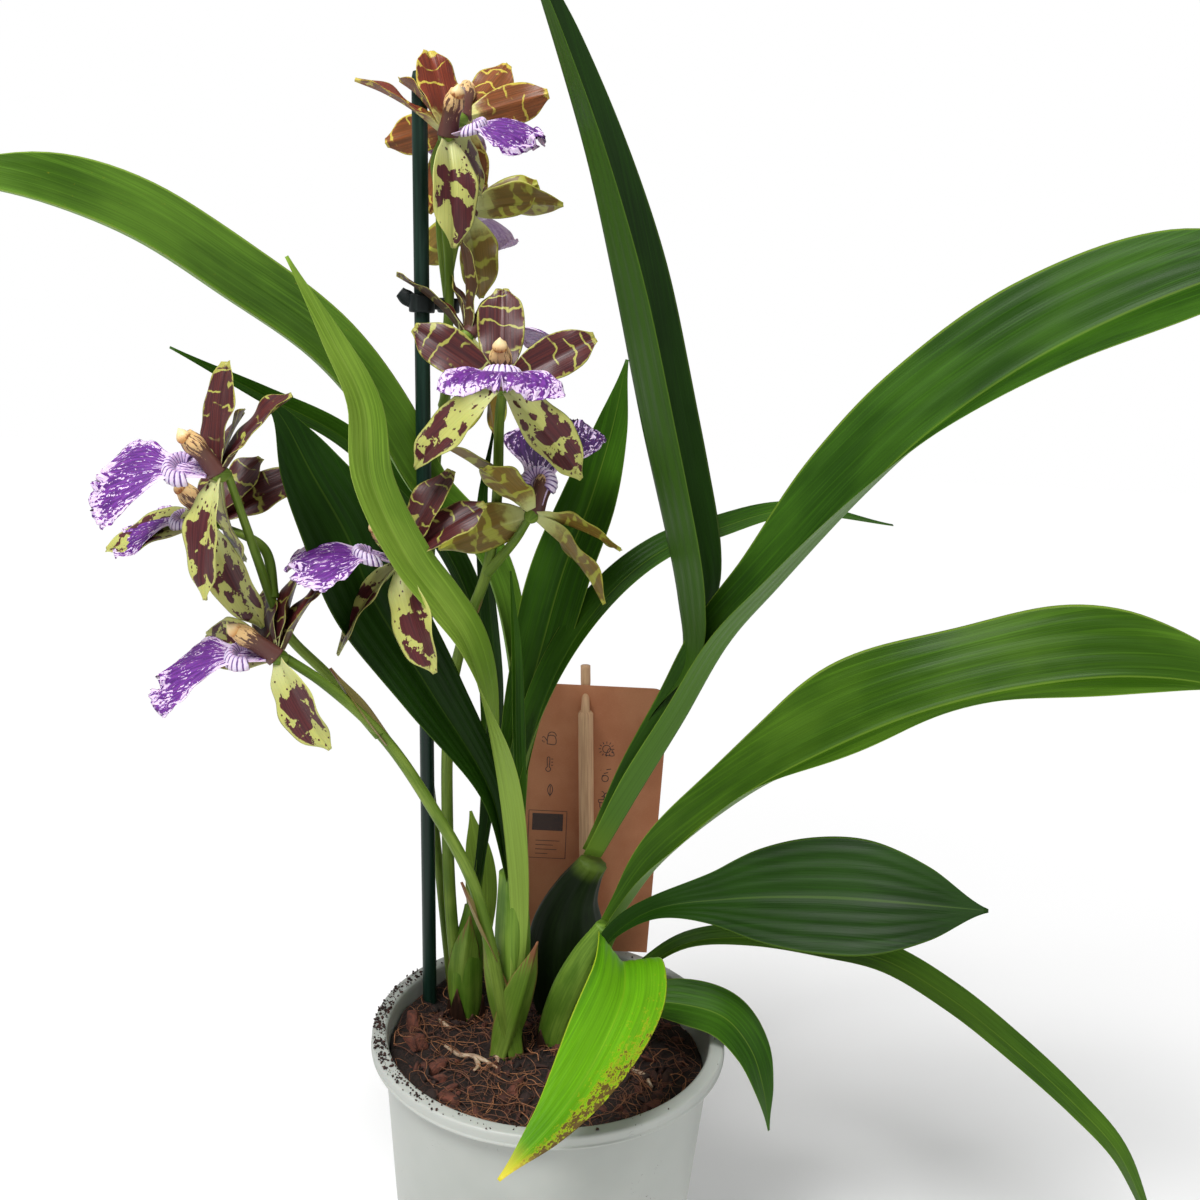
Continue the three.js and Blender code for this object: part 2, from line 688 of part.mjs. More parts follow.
function clip(room) {
  const [x, y, z] = leaning(STAKE_FOOT, STAKE_LEAN, CLIP_HEIGHT * PLANT_SCALE);
  const [stemX, stemY] = planted([...CLIP_STEM, CLIP_HEIGHT]);
  const ring = (inner, height) => {
    const outer = inner + CLIP_WALL + room;
    return new THREE.CylinderGeometry(outer, outer, height + 2 * room, CLIP_SIDES).rotateX(Math.PI / 2);
  };
  const collar = ring(STAKE_RADIUS, CLIP_DEPTH).translate(x, y, z);
  const loop = ring(STEM_RADIUS, CLIP_DEPTH - 1).translate(stemX, stemY, z);
  const span = Math.hypot(stemX - x, stemY - y);
  const arm = new THREE.BoxGeometry(span, CLIP_ARM + 2 * room, CLIP_DEPTH - 2 + 2 * room)
    .rotateZ(Math.atan2(stemY - y, stemX - x))
    .translate((x + stemX) / 2, (y + stemY) / 2, z);
  const lever = new THREE.BoxGeometry(CLIP_LEVER + 2 * room, CLIP_ARM + 2 * room, CLIP_DEPTH + 2 * room)
    .rotateY(THREE.MathUtils.degToRad(CLIP_LEVER_TILT))
    .translate(x - STAKE_RADIUS - CLIP_LEVER / 2, y, z + 1);
  return joined([collar, loop, arm, lever].map(solidOf));
}

place("stake_clip", STAKE_GREEN, clip);

FLOWERS.forEach((flower, index) => {
  const name = `flower_${String(index + 1).padStart(2, "0")}`;
  place(`${name}_tepals`, TEPAL_BROWN, (room) => tepals(flower, room));
  place(`${name}_lip`, LIP_VIOLET, (room) => lip(flower, room));
});

// ---------------------------------------------------------------- leaves

// Each leaf: its midrib, its half width from base to tip, the way its upper face looks, and its fold.
const LEAVES = {
  leaf_right_high: {
    path: [[15, 19, 68], [28, 15, 96], [41, 11, 123], [55, 6, 154], [69, 2, 174], [94, -5, 208],
      [113, -11, 230], [146, -21, 257], [189, -34, 279], [211, -40, 282]],
    width: [7, 11, 12.5, 15, 21, 23.5, 24, 19, 0.8],
    face: [[-0.7, -0.2, 0.5], [-0.6, -0.43, 0.77], [-0.15, -0.8, 0.74]],
    fold: [76, 60, 42, 32, 18],
  },
  leaf_tall: {
    path: [[27, 18, 110], [40, 13, 145], [37, 8, 168], [21, 1, 227], [10, -6, 270], [1, -12, 302],
      [-8, -17, 328], [-22, -26, 365]],
    width: [3, 7, 18, 21, 21.5, 20, 15, 9, 0.6],
    face: [[0.3, -0.3, 0.8], [0.95, -0.3, 0.2], [0.95, -0.3, 0]],
    fold: [50, 45, 42, 40],
  },
  leaf_right_long: {
    path: [[15, 8, 36], [25, 8, 54], [36, 5, 73], [62, -3, 102], [83, -9, 119], [114, -16, 138],
      [145, -24, 151], [175, -32, 158], [201, -38, 157], [220, -44, 148]],
    width: [4, 8, 12, 19, 24, 25, 23, 15, 0.6],
    face: [[-0.7, -0.3, 0.5], [-0.26, -0.49, 0.92], [0, -0.5, 0.9]],
    fold: [60, 45, 41, 36, 30],
    wave: [2.2, 3.4, 0.1],
  },
  leaf_oval: {
    path: [[15, 2, 36], [22, 0, 48], [35, -6, 61], [59, -14, 70], [87, -24, 77], [108, -31, 80],
      [137, -38, 82]],
    width: [3.5, 4.5, 5, 9, 16, 19.5, 19, 12, 0.6],
    face: [[-0.5, -0.5, 0.7], [0, -0.75, 0.66], [0.05, -0.75, 0.66]],
    fold: [50, 20, 12, 10],
  },
  leaf_drooping: {
    path: [[20, 24, 6], [34, 28, 19], [50, 29, 30], [74, 28, 34], [100, 22, 35], [121, 16, 34],
      [144, 9, 24], [167, 2, 9], [188, -5, -7], [202, -11, -20], [211, -16, -36], [218, -22, -53]],
    width: [3, 4.5, 6, 7, 7.5, 7.5, 7, 5.5, 0.6],
    face: [[-0.6, -0.3, 0.7], [0.1, -0.4, 0.9], [0.4, -0.4, 0.8]],
    fold: [40, 15, 10],
  },
  leaf_front: {
    path: [[13, 0, 2], [17, -6, 24], [21, -14, 42], [24, -24, 50], [24, -38, 46], [17, -56, 37],
      [6, -74, 28], [-10, -90, 18]],
    width: [3, 4.5, 8, 12.5, 14, 13, 10, 5.5, 0.6],
    face: [[-0.3, 0.8, 0.5], [0.4, -0.2, 0.9], [0, -0.5, 0.9], [-0.2, -0.6, 0.8]],
    fold: [40, 32, 18, 10],
  },
  leaf_short: {
    path: [[18, 4, 10], [32, 4, 19], [49, 1, 21], [62, -3, 19], [71, -7, 10], [76, -10, -3], [79, -12, -18]],
    width: [3, 5.5, 9, 9.5, 8, 5, 0.6],
    face: [[-0.5, -0.4, 0.8], [0.1, -0.55, 0.8], [0.7, -0.6, 0.4]],
    fold: [35, 15, 12],
  },
  leaf_lime: {
    path: [[-15, -2, 60], [-19, -10, 100], [-25, -20, 137], [-31, -26, 158], [-38, -30, 170],
      [-47, -35, 184], [-57, -41, 208], [-59, -44, 230], [-67, -48, 248], [-78, -52, 269]],
    width: [5, 7.5, 9, 9.5, 9, 7.5, 6.5, 4.5, 0.6],
    face: [[0.6, 0.6, 0.3], [0.6, 0.5, 0.5], [0.4, -0.6, 0.6], [0.4, -0.7, 0.5]],
    fold: [45, 30, 20, 15],
  },
  leaf_left_broad: {
    path: [[-17, 0, 68], [-23, -4, 99], [-43, -14, 138], [-60, -20, 168], [-68, -23, 189],
      [-78, -26, 208], [-86, -28, 224], [-91, -29, 230]],
    width: [4, 6, 7.5, 10, 12.5, 14.5, 14, 9, 0.6],
    face: [[0.3, -0.5, 0.6], [0.3, -0.85, 0.4], [0.3, -0.9, 0.4]],
    fold: [50, 20, 14, 10],
  },
  leaf_inner_small: {
    path: [[-14, 3, 70], [-15, 3, 100], [-16, 1, 124], [-17, 0, 149], [-19, -2, 176]],
    width: [2.5, 3.5, 3.5, 2.5, 0.5],
    face: [[0.6, -0.7, 0.2], [0.6, -0.7, 0.2]],
    fold: [50, 40, 30],
  },
  leaf_behind_right: {
    path: [[-14, 7, 68], [-13, 9, 100], [-2, 11, 140], [14, 15, 166], [32, 22, 181], [50, 28, 188],
      [77, 38, 195], [116, 48, 190]],
    width: [3.5, 6.5, 8, 8.5, 8.5, 7.5, 6, 3.5, 0.6],
    face: [[-0.8, -0.4, 0.2], [-0.6, -0.5, 0.6], [-0.1, -0.45, 0.9]],
    fold: [50, 25, 15, 10],
  },
  leaf_upright: {
    path: [[-15, 11, 66], [-16, 14, 90], [-14, 17, 119], [-8, 20, 148], [-2, 22, 173], [6, 23, 197],
      [12, 23, 221], [16, 23, 245]],
    width: [3.5, 5, 7, 9, 11.5, 11.5, 10, 6, 0.6],
    face: [[-0.3, -0.8, 0.2], [-0.3, -0.9, 0.2]],
    fold: [45, 20, 15, 12],
  },
  leaf_left_long: {
    path: [[-17, 15, 62], [-18, 22, 102], [-21, 28, 138], [-32, 30, 173], [-55, 26, 196], [-69, 18, 220],
      [-86, 8, 241], [-110, -6, 259], [-132, -20, 274], [-153, -32, 282], [-171, -40, 285], [-187, -46, 286]],
    width: [4, 6, 8, 11, 15, 18, 19, 16, 0.8],
    face: [[0.7, -0.5, 0.3], [0.5, -0.5, 0.6], [0.44, -0.49, 0.8]],
    fold: [55, 45, 38, 34],
  },
  leaf_left_narrow: {
    path: [[-31, 30, 44], [-30, 42, 95], [-33, 46, 136], [-41, 47, 162], [-57, 44, 188], [-82, 36, 213],
      [-107, 26, 227], [-134, 14, 242]],
    width: [2.5, 4, 5.5, 6.5, 7, 6, 4, 0.5],
    face: [[0.6, -0.5, 0.3], [0.5, -0.5, 0.6], [0.3, -0.75, 0.6]],
    fold: [45, 25, 15],
  },
  leaf_dark_narrow: {
    path: [[-30, 30, 44], [-26, 34, 85], [-25, 36, 121], [-30, 37, 165], [-32, 36, 194], [-29, 34, 219]],
    width: [2.5, 3.5, 4, 4, 3, 0.5],
    face: [[-0.4, -0.8, 0.2], [-0.4, -0.8, 0.2]],
    fold: [45, 25, 20],
  },
  leaf_pale_short: {
    path: [[-29, 30, 14], [-29, 40, 27], [-31, 52, 45], [-37, 66, 64]],
    width: [2.5, 5, 6.5, 5, 0.6],
    face: [[0, -0.7, 0.7], [0, -0.7, 0.7]],
    fold: [35, 20, 15],
  },
};

const SHEATHS = {
  sheath_front_right: {
    path: [[-11, -5, 4], [-8, -6, 24], [-4, -7, 50]],
    width: [4.5, 5, 3.5, 0.5],
    face: [[-0.8, 0.6, 0.2], [-0.8, 0.6, 0.2]],
    fold: [35, 30],
  },
  sheath_front_left: {
    path: [[-18, -4, 4], [-20, -4, 26], [-24, -4, 48]],
    width: [4.5, 4.5, 3, 0.5],
    face: [[0.8, 0.6, 0.1], [0.8, 0.6, 0.1]],
    fold: [35, 30],
  },
  sheath_back: {
    path: [[-33, 17, 4], [-32, 17, 22], [-31, 18, 42]],
    width: [5.5, 6, 4.5, 0.5],
    face: [[0, 1, 0.1], [0, 1, 0.1]],
    fold: [35, 30],
  },
};

const LIME_LEAVES = ["leaf_front", "leaf_lime", "leaf_pale_short"];

for (const [name, spec] of Object.entries(SHEATHS)) {
  const shape = { ...spec, path: spec.path.map(planted), thickness: LEAF_THICKNESS, steps: 6 };
  place(name, STEM_GREEN, (room) => blade(shape, room));
}
for (const [name, spec] of Object.entries(LEAVES)) {
  const path = spec.path.map(planted);
  const width = spec.width.map((w) => w * PLANT_SCALE);
  const shape = { ...spec, path, width, thickness: LEAF_THICKNESS, steps: 4 + path.length };
  place(name, LIME_LEAVES.includes(name) ? LIME_GREEN : LEAF_GREEN, (room) => blade(shape, room));
}

// ---------------------------------------------------------------- medium and pot

const RIM_STEP = 0.4;
const WALL_TOP_RADIUS = RIM_INNER_RADIUS - RIM_STEP;

function innerRadius(z) {
  return POT_FOOT_RADIUS - POT_WALL + ((WALL_TOP_RADIUS - POT_FOOT_RADIUS + POT_WALL) * z) / POT_HEIGHT;
}

const MEDIUM_RINGS = [0.3, 0.55, 0.8, 1];
const MEDIUM_SIDES = 28;
const MEDIUM_ROUGHNESS = 1.6;

// Bark chips leave the surface uneven. It is heaped towards the wall on the stake's side.
const HEAP = 6.5;
const HOLLOW = 2;
const HEAP_TURN = THREE.MathUtils.degToRad(155);

function mediumHeight(ring, side) {
  const turn = (2 * Math.PI * side) / MEDIUM_SIDES;
  const bump = Math.sin(ring * 12.9 + side * 4.1) + Math.cos(ring * 7.3 - side * 2.7);
  const slope = Math.cos(turn - HEAP_TURN);
  const heap = ring * ring * slope * (slope > 0 ? HEAP : HOLLOW);
  return MEDIUM_TOP + MEDIUM_ROUGHNESS * 0.5 * bump * (1 - 0.5 * ring) + heap;
}

function medium() {
  const bottom = POT_FLOOR + CLEARANCE;
  const around = (radius, height, ring) =>
    Array.from({ length: MEDIUM_SIDES }, (_, i) => {
      const turn = (2 * Math.PI * i) / MEDIUM_SIDES;
      const z = height ?? mediumHeight(ring, i);
      return vector([radius * Math.cos(turn), radius * Math.sin(turn), z]);
    });
  const edge = innerRadius(MEDIUM_TOP) - 2 * CLEARANCE;
  const points = [
    vector([0, 0, bottom]),
    ...around(innerRadius(bottom) - 2 * CLEARANCE, bottom),
    ...[...MEDIUM_RINGS].reverse().flatMap((share) => around(edge * share, undefined, share)),
    vector([0, 0, MEDIUM_TOP]),
  ];
  const triangles = [];
  const last = points.length - 1;
  const rows = MEDIUM_RINGS.length + 1;
  for (let i = 0; i < MEDIUM_SIDES; i++) {
    const j = (i + 1) % MEDIUM_SIDES;
    triangles.push(0, 1 + j, 1 + i);
    for (let row = 0; row + 1 < rows; row++) {
      const a = 1 + row * MEDIUM_SIDES;
      triangles.push(a + i, a + j, a + MEDIUM_SIDES + j);
      triangles.push(a + i, a + MEDIUM_SIDES + j, a + MEDIUM_SIDES + i);
    }
    const top = 1 + (rows - 1) * MEDIUM_SIDES;
    triangles.push(top + i, top + j, last);
  }
  return solidFrom(points, triangles);
}

place("growing_medium", MEDIUM_BROWN, medium);

// The pot is turned: a plain foot, a tapering wall, and a flat rim with a turned-down lip.
const FOOT_CHAMFER = 1.5;
const RIM_ROUNDING = 0.6;

function pot() {
  const outer = (z) => innerRadius(z) + POT_WALL;
  const underRim = POT_HEIGHT - RIM_THICKNESS;
  const lipBottom = POT_HEIGHT - RIM_LIP_HEIGHT;
  const profile = [
    [0, 0],
    [POT_FOOT_RADIUS - FOOT_CHAMFER, 0],
    [outer(FOOT_CHAMFER), FOOT_CHAMFER],
    [outer(underRim), underRim],
    [POT_RIM_RADIUS - RIM_THICKNESS, underRim],
    [POT_RIM_RADIUS - RIM_THICKNESS, lipBottom],
    [POT_RIM_RADIUS, lipBottom],
    [POT_RIM_RADIUS, POT_HEIGHT - RIM_ROUNDING],
    [POT_RIM_RADIUS - RIM_ROUNDING, POT_HEIGHT],
    [RIM_INNER_RADIUS, POT_HEIGHT],
    [innerRadius(POT_HEIGHT - RIM_ROUNDING), POT_HEIGHT - RIM_ROUNDING],
    [innerRadius(POT_FLOOR), POT_FLOOR],
    [0, POT_FLOOR],
  ];
  const outline = profile.map(([radius, height]) => new THREE.Vector2(radius, height));
  return solidOf(new THREE.LatheGeometry(outline, ROUND_SIDES).rotateX(Math.PI / 2));
}

place("pot", POT_GREY, pot);

export default root;
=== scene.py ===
"""Potted orchid in flower: the looks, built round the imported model.
Lengths in the tables are millimetres. Plant places are measured from the medium's surface."""

import math

import bpy
import numpy as np
from mathutils import Matrix, Vector, noise


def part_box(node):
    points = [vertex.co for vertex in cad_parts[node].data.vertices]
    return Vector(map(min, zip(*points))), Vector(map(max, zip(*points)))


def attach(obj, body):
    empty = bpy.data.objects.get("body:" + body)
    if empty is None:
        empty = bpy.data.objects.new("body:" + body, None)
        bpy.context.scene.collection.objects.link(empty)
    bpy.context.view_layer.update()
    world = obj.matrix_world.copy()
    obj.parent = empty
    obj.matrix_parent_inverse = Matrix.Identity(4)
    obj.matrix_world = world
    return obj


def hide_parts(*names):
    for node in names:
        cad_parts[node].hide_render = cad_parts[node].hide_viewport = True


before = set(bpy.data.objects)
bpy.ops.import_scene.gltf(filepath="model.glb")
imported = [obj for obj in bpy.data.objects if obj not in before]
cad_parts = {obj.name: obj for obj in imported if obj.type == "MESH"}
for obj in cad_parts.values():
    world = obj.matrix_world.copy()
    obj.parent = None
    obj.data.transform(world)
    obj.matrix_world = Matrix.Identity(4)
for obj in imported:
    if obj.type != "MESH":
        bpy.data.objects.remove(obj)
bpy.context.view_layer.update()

MM = 0.001
BODY = "root"

MEDIUM_DROP = 12
pot_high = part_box("pot")[1]
RIM_TOP = pot_high.z / MM
RIM_RADIUS = pot_high.x / MM
MEDIUM_TOP = RIM_TOP - MEDIUM_DROP

UP = np.array([0.0, 0.0, 1.0])


# ---------------------------------------------------------------- curves


def unit(v):
    v = np.asarray(v, float)
    return v / np.maximum(np.linalg.norm(v, axis=-1, keepdims=True), 1e-12)


def along(values, s):
    """A smooth curve through evenly spaced numbers or vectors, read at shares s from 0 to 1."""
    values = np.asarray(values, float)
    s = np.asarray(s, float)
    last = len(values) - 1
    x = np.clip(s, 0, 1) * last
    i = np.minimum(x.astype(int), last - 1)
    t = x - i
    if values.ndim > 1:
        t = t[..., None]
    a, b = values[np.maximum(i - 1, 0)], values[i]
    c, d = values[i + 1], values[np.minimum(i + 2, last)]
    return b + 0.5 * t * (c - a + t * (2 * a - 5 * b + 4 * c - d + t * (3 * (b - c) + d - a)))


def smoothstep(low, high, x):
    t = np.clip((np.asarray(x, float) - low) / (high - low), 0, 1)
    return t * t * (3 - 2 * t)


def curve_through(points, fineness=40):
    """Closely spaced places on the centripetal curve through points."""
    p = np.array(points, float)
    p = np.vstack([2 * p[0] - p[1], p, 2 * p[-1] - p[-2]])
    gap = np.sqrt(np.linalg.norm(np.diff(p, axis=0), axis=1))
    places = []
    t = np.linspace(0, 1, fineness, endpoint=False)[:, None]
    for i in range(1, len(p) - 2):
        a, b, c, d = p[i - 1 : i + 3]
        g0, g1, g2 = gap[i - 1 : i + 2]
        leave = g1 * ((b - a) / g0 - (c - a) / (g0 + g1) + (c - b) / g1)
        arrive = g1 * ((c - b) / g1 - (d - b) / (g1 + g2) + (d - c) / g2)
        square = 3 * (c - b) - 2 * leave - arrive
        cube = 2 * (b - c) + leave + arrive
        places.append(b + t * (leave + t * (square + t * cube)))
    return np.vstack([*places, p[-2:-1]])


SIDEWAYS = ((1, 0.1, 0.2), (1, 0.1, 0.2))


class Track:
    """A smooth path and the way its upper face looks, read at shares of its length."""

    SAMPLES = 240

    def __init__(self, points, faces):
        fine = curve_through(points)
        run = np.concatenate([[0], np.cumsum(np.linalg.norm(np.diff(fine, axis=0), axis=1))])
        self.length = run[-1]
        self.share = np.linspace(0, 1, self.SAMPLES + 1)
        self.at = self.between(run / run[-1], fine, self.share)
        self.tangent = unit(np.gradient(self.at, axis=0))
        self.side = unit(np.cross(self.tangent, along(faces, self.share)))
        self.up = unit(np.cross(self.side, self.tangent))

    @staticmethod
    def between(known, values, wanted):
        return np.stack([np.interp(wanted, known, values[:, axis]) for axis in range(3)], -1)

    def read(self, s):
        """Place, side and up at each share; past an end the place runs straight on."""
        s = np.asarray(s, float)
        beyond = (s - np.clip(s, 0, 1)) * self.length
        at, side, up, tangent = (
            self.between(self.share, values, s) for values in (self.at, self.side, self.up, self.tangent)
        )
        return at + beyond[..., None] * tangent, side, up


# ---------------------------------------------------------------- meshes


class Shape:
    """Vertices, faces and two surface coordinates, gathered before they become one piece.
    grain is (across, along) in millimetres with a number that sets each part's pattern apart;
    spot is (across from -1 to 1, along from 0 to 1, upper 1 or under 0)."""

    def __init__(self):
        self.points, self.grain, self.spot = [], [], []
        self.faces, self.looks = [], []
        self.count = 0

    def add(self, points, faces, grain, spot, look=0):
        self.points.append(np.asarray(points, float).reshape(-1, 3))
        self.grain.append(np.asarray(grain, float).reshape(-1, 3))
        self.spot.append(np.asarray(spot, float).reshape(-1, 3))
        self.faces += [[v + self.count for v in face] for face in faces]
        self.looks += [look] * len(faces)
        self.count += len(self.points[-1])

    def piece(self, name, looks, slot, *nodes, smooth=True):
        """Makes the piece, which rides with the pot and stands for the CAD nodes."""
        mesh = bpy.data.meshes.new(name)
        mesh.from_pydata((np.vstack(self.points) * MM).tolist(), [], self.faces)
        for kind in ("grain", "spot"):
            layer = mesh.attributes.new(kind, "FLOAT_VECTOR", "POINT")
            layer.data.foreach_set("vector", np.vstack(getattr(self, kind)).astype(np.float32).ravel())
        for look in looks:
            mesh.materials.append(look)
        mesh.polygons.foreach_set("material_index", self.looks)
        mesh.polygons.foreach_set("use_smooth", [smooth] * len(self.faces))
        mesh.update()
        made = bpy.data.objects.new(name, mesh)
        bpy.context.scene.collection.objects.link(made)
        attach(made, BODY)
        if nodes:
            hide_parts(*nodes)


def skin_faces(rows, n):
    """Faces over rows of n points each, closed at both ends."""
    faces = [
        [k * n + i, k * n + (i + 1) % n, (k + 1) * n + (i + 1) % n, (k + 1) * n + i]
        for k in range(rows - 1)
        for i in range(n)
    ]
    faces.append(list(range(n))[::-1])
    faces.append(list(range((rows - 1) * n, rows * n)))
    return faces


def add_blade(shape, spec, look=0, seed=0.0):
    """A leaf, tepal or bract: two wings that rise from the midrib, with pleats and a rounded margin."""
    track = Track(spec["path"], spec["face"])
    steps, half = spec.get("steps", 60), spec.get("columns", 12)
    turn = np.linspace(-1, 1, 2 * half + 1)
    u_top = np.sin(turn * math.pi / 2) * 0.4 + turn * 0.6
    u = np.concatenate([u_top, u_top[-2:0:-1]])
    face = np.concatenate([np.ones(len(u_top)), -np.ones(len(u_top) - 2)])
    face[0] = face[2 * half] = 0
    s = np.linspace(0, 1, steps + 1)
    S, U = np.meshgrid(s, u, indexing="ij")
    F = np.broadcast_to(face, S.shape)
    R = spec["reach"](U, S) if "reach" in spec else S
    at, side, up = track.read(R)
    width = np.maximum(along(spec["width"], R), 0.25)
    fold = np.radians(along(spec["fold"], R))
    reach = np.abs(U) * width
    right = np.sign(U) * reach * np.cos(fold)
    rise = reach * np.sin(fold)
    wave_height, wave_count, wave_phase = spec.get("wave", (0, 1, 0))
    spread = np.sin(math.pi / 2 * np.minimum(2 * S, 1))
    rise = rise + wave_height * spread * np.sin(2 * math.pi * (wave_count * S + wave_phase)) * U * np.abs(U)
    if "relief" in spec:
        rise = rise + spec["relief"](U, S, width)
    body = np.sqrt(np.maximum(1 - np.abs(U) ** 5, 0)) * (1 - 0.55 * np.abs(U))
    rise = rise + F * spec["thickness"] / 2 * body * along(spec.get("body", (1, 1)), S)
    points = at + right[..., None] * side + rise[..., None] * up
    grain = np.stack([U * width, S * track.length, np.full(S.shape, seed)], -1)
    spot = np.stack([U, S, (F + 1) / 2], -1)
    shape.add(points, skin_faces(steps + 1, len(u)), grain, spot, look)


def add_tube(shape, spec, look=0, seed=0.0):
    """A stem, bulb or rod: an ellipse carried along a path, with relief over its surface."""
    track = Track(spec["path"], spec.get("face", SIDEWAYS))
    steps, sides = spec.get("steps", 40), spec.get("sides", 20)
    s = np.linspace(0, 1, steps + 1)
    turn = np.arange(sides) / sides
    S, T = np.meshgrid(s, turn, indexing="ij")
    at, side, up = track.read(S)
    radius = along(spec["radius"], S)
    if "relief" in spec:
        radius = radius + spec["relief"](T, S)
    flatness = spec.get("flatness", 1)
    angle = 2 * math.pi * T
    points = at + (radius * np.cos(angle))[..., None] * up
    points = points + (radius * flatness * np.sin(angle))[..., None] * side
    across = T * 2 * math.pi * np.mean(spec["radius"])
    grain = np.stack([across, S * track.length, np.full(S.shape, seed)], -1)
    spot = np.stack([T * 2 - 1, S, np.ones(S.shape)], -1)
    shape.add(points, skin_faces(steps + 1, sides), grain, spot, look)


def add_turned(shape, profile, sides):
    """A closed profile of (radius, height) turned round the pot's axis."""
    turn = 2 * math.pi * np.arange(sides) / sides
    rows = len(profile)
    radius, height = (np.array([p[k] for p in profile], float)[:, None] for k in (0, 1))
    x, y = radius * np.cos(turn), radius * np.sin(turn)
    z = np.broadcast_to(height, x.shape)
    run = np.cumsum([0, *np.linalg.norm(np.diff(np.array(profile, float), axis=0), axis=1)])
    around, down = np.broadcast_to(turn, x.shape), np.broadcast_to(run[:, None], x.shape)
    grain = np.stack([around * RIM_RADIUS, down, z], -1)
    spot = np.stack([around / math.pi - 1, z / RIM_TOP, np.ones(x.shape)], -1)
    faces = [f[::-1] for f in skin_faces(rows, sides)]
    shape.add(np.stack([x, y, z], -1), faces, grain, spot)


# ---------------------------------------------------------------- materials


class Look:
    """A procedural material, built in few words. Values may be numbers, colours or sockets."""

    def __init__(self, name, roughness=0.5, **constants):
        self.material = bpy.data.materials.new(name)
        self.material.use_nodes = True
        self.nodes = self.material.node_tree.nodes
        self.links = self.material.node_tree.links
        self.shader = next(n for n in self.nodes if n.type == "BSDF_PRINCIPLED")
        self.shader.inputs["Roughness"].default_value = roughness
        for label, value in constants.items():
            self.shader.inputs[label.replace("_", " ")].default_value = value

    def add(self, kind, values=(), **settings):
        node = self.nodes.new("ShaderNode" + kind)
        for key, value in settings.items():
            setattr(node, key, value)
        for key, value in dict(values).items():
            self.feed(node.inputs[key], value)
        return node

    def feed(self, socket, value):
        if isinstance(value, bpy.types.NodeSocket):
            self.links.new(value, socket)
        elif isinstance(value, (tuple, list)) and len(value) == 3 and socket.type == "RGBA":
            socket.default_value = (*value, 1)
        else:
            socket.default_value = value

    def attribute(self, name):
        return self.add("Attribute", attribute_name=name).outputs["Vector"]

    def split(self, vector):
        return self.add("SeparateXYZ", {0: vector}).outputs

    def join(self, x, y, z):
        return self.add("CombineXYZ", {0: x, 1: y, 2: z}).outputs[0]

    def math(self, operation, *values):
        return self.add("Math", dict(enumerate(values)), operation=operation).outputs[0]

    def scaled(self, vector, factors):
        return self.add("VectorMath", {0: vector, 1: factors}, operation="MULTIPLY").outputs[0]

    def step(self, value, low, high, out_low=0.0, out_high=1.0):
        values = {"Value": value, "From Min": low, "From Max": high, "To Min": out_low, "To Max": out_high}
        return self.add("MapRange", values, interpolation_type="SMOOTHSTEP").outputs["Result"]

    def noise(self, vector, scale, detail=3.0, rough=0.5):
        values = {"Vector": vector, "Scale": scale, "Detail": detail, "Roughness": rough}
        return self.add("TexNoise", values).outputs["Fac"]

    def cells(self, vector, scale, feature="F1"):
        values = {"Vector": vector, "Scale": scale}
        return self.add("TexVoronoi", values, feature=feature).outputs["Distance"]

    def mix(self, share, first, second):
        node = self.add("Mix", data_type="RGBA")
        self.feed(node.inputs["Factor"], share)
        self.feed(node.inputs[6], first)
        self.feed(node.inputs[7], second)
        return node.outputs[2]

    def finish(self, colour, height=None, strength=0.3, distance=0.0005, roughness=None):
        self.feed(self.shader.inputs["Base Color"], colour)
        if height is not None:
            bump = self.add("Bump", {"Height": height, "Strength": strength, "Distance": distance})
            self.links.new(bump.outputs[0], self.shader.inputs["Normal"])
        if roughness is not None:
            self.feed(self.shader.inputs["Roughness"], roughness)
        return self.material


def rgb(*shown):
    """A colour given as it shows on a screen, from 0 to 255, as linear light."""
    shares = (c / 255 for c in shown)
    return tuple(c / 12.92 if c <= 0.04045 else ((c + 0.055) / 1.055) ** 2.4 for c in shares)


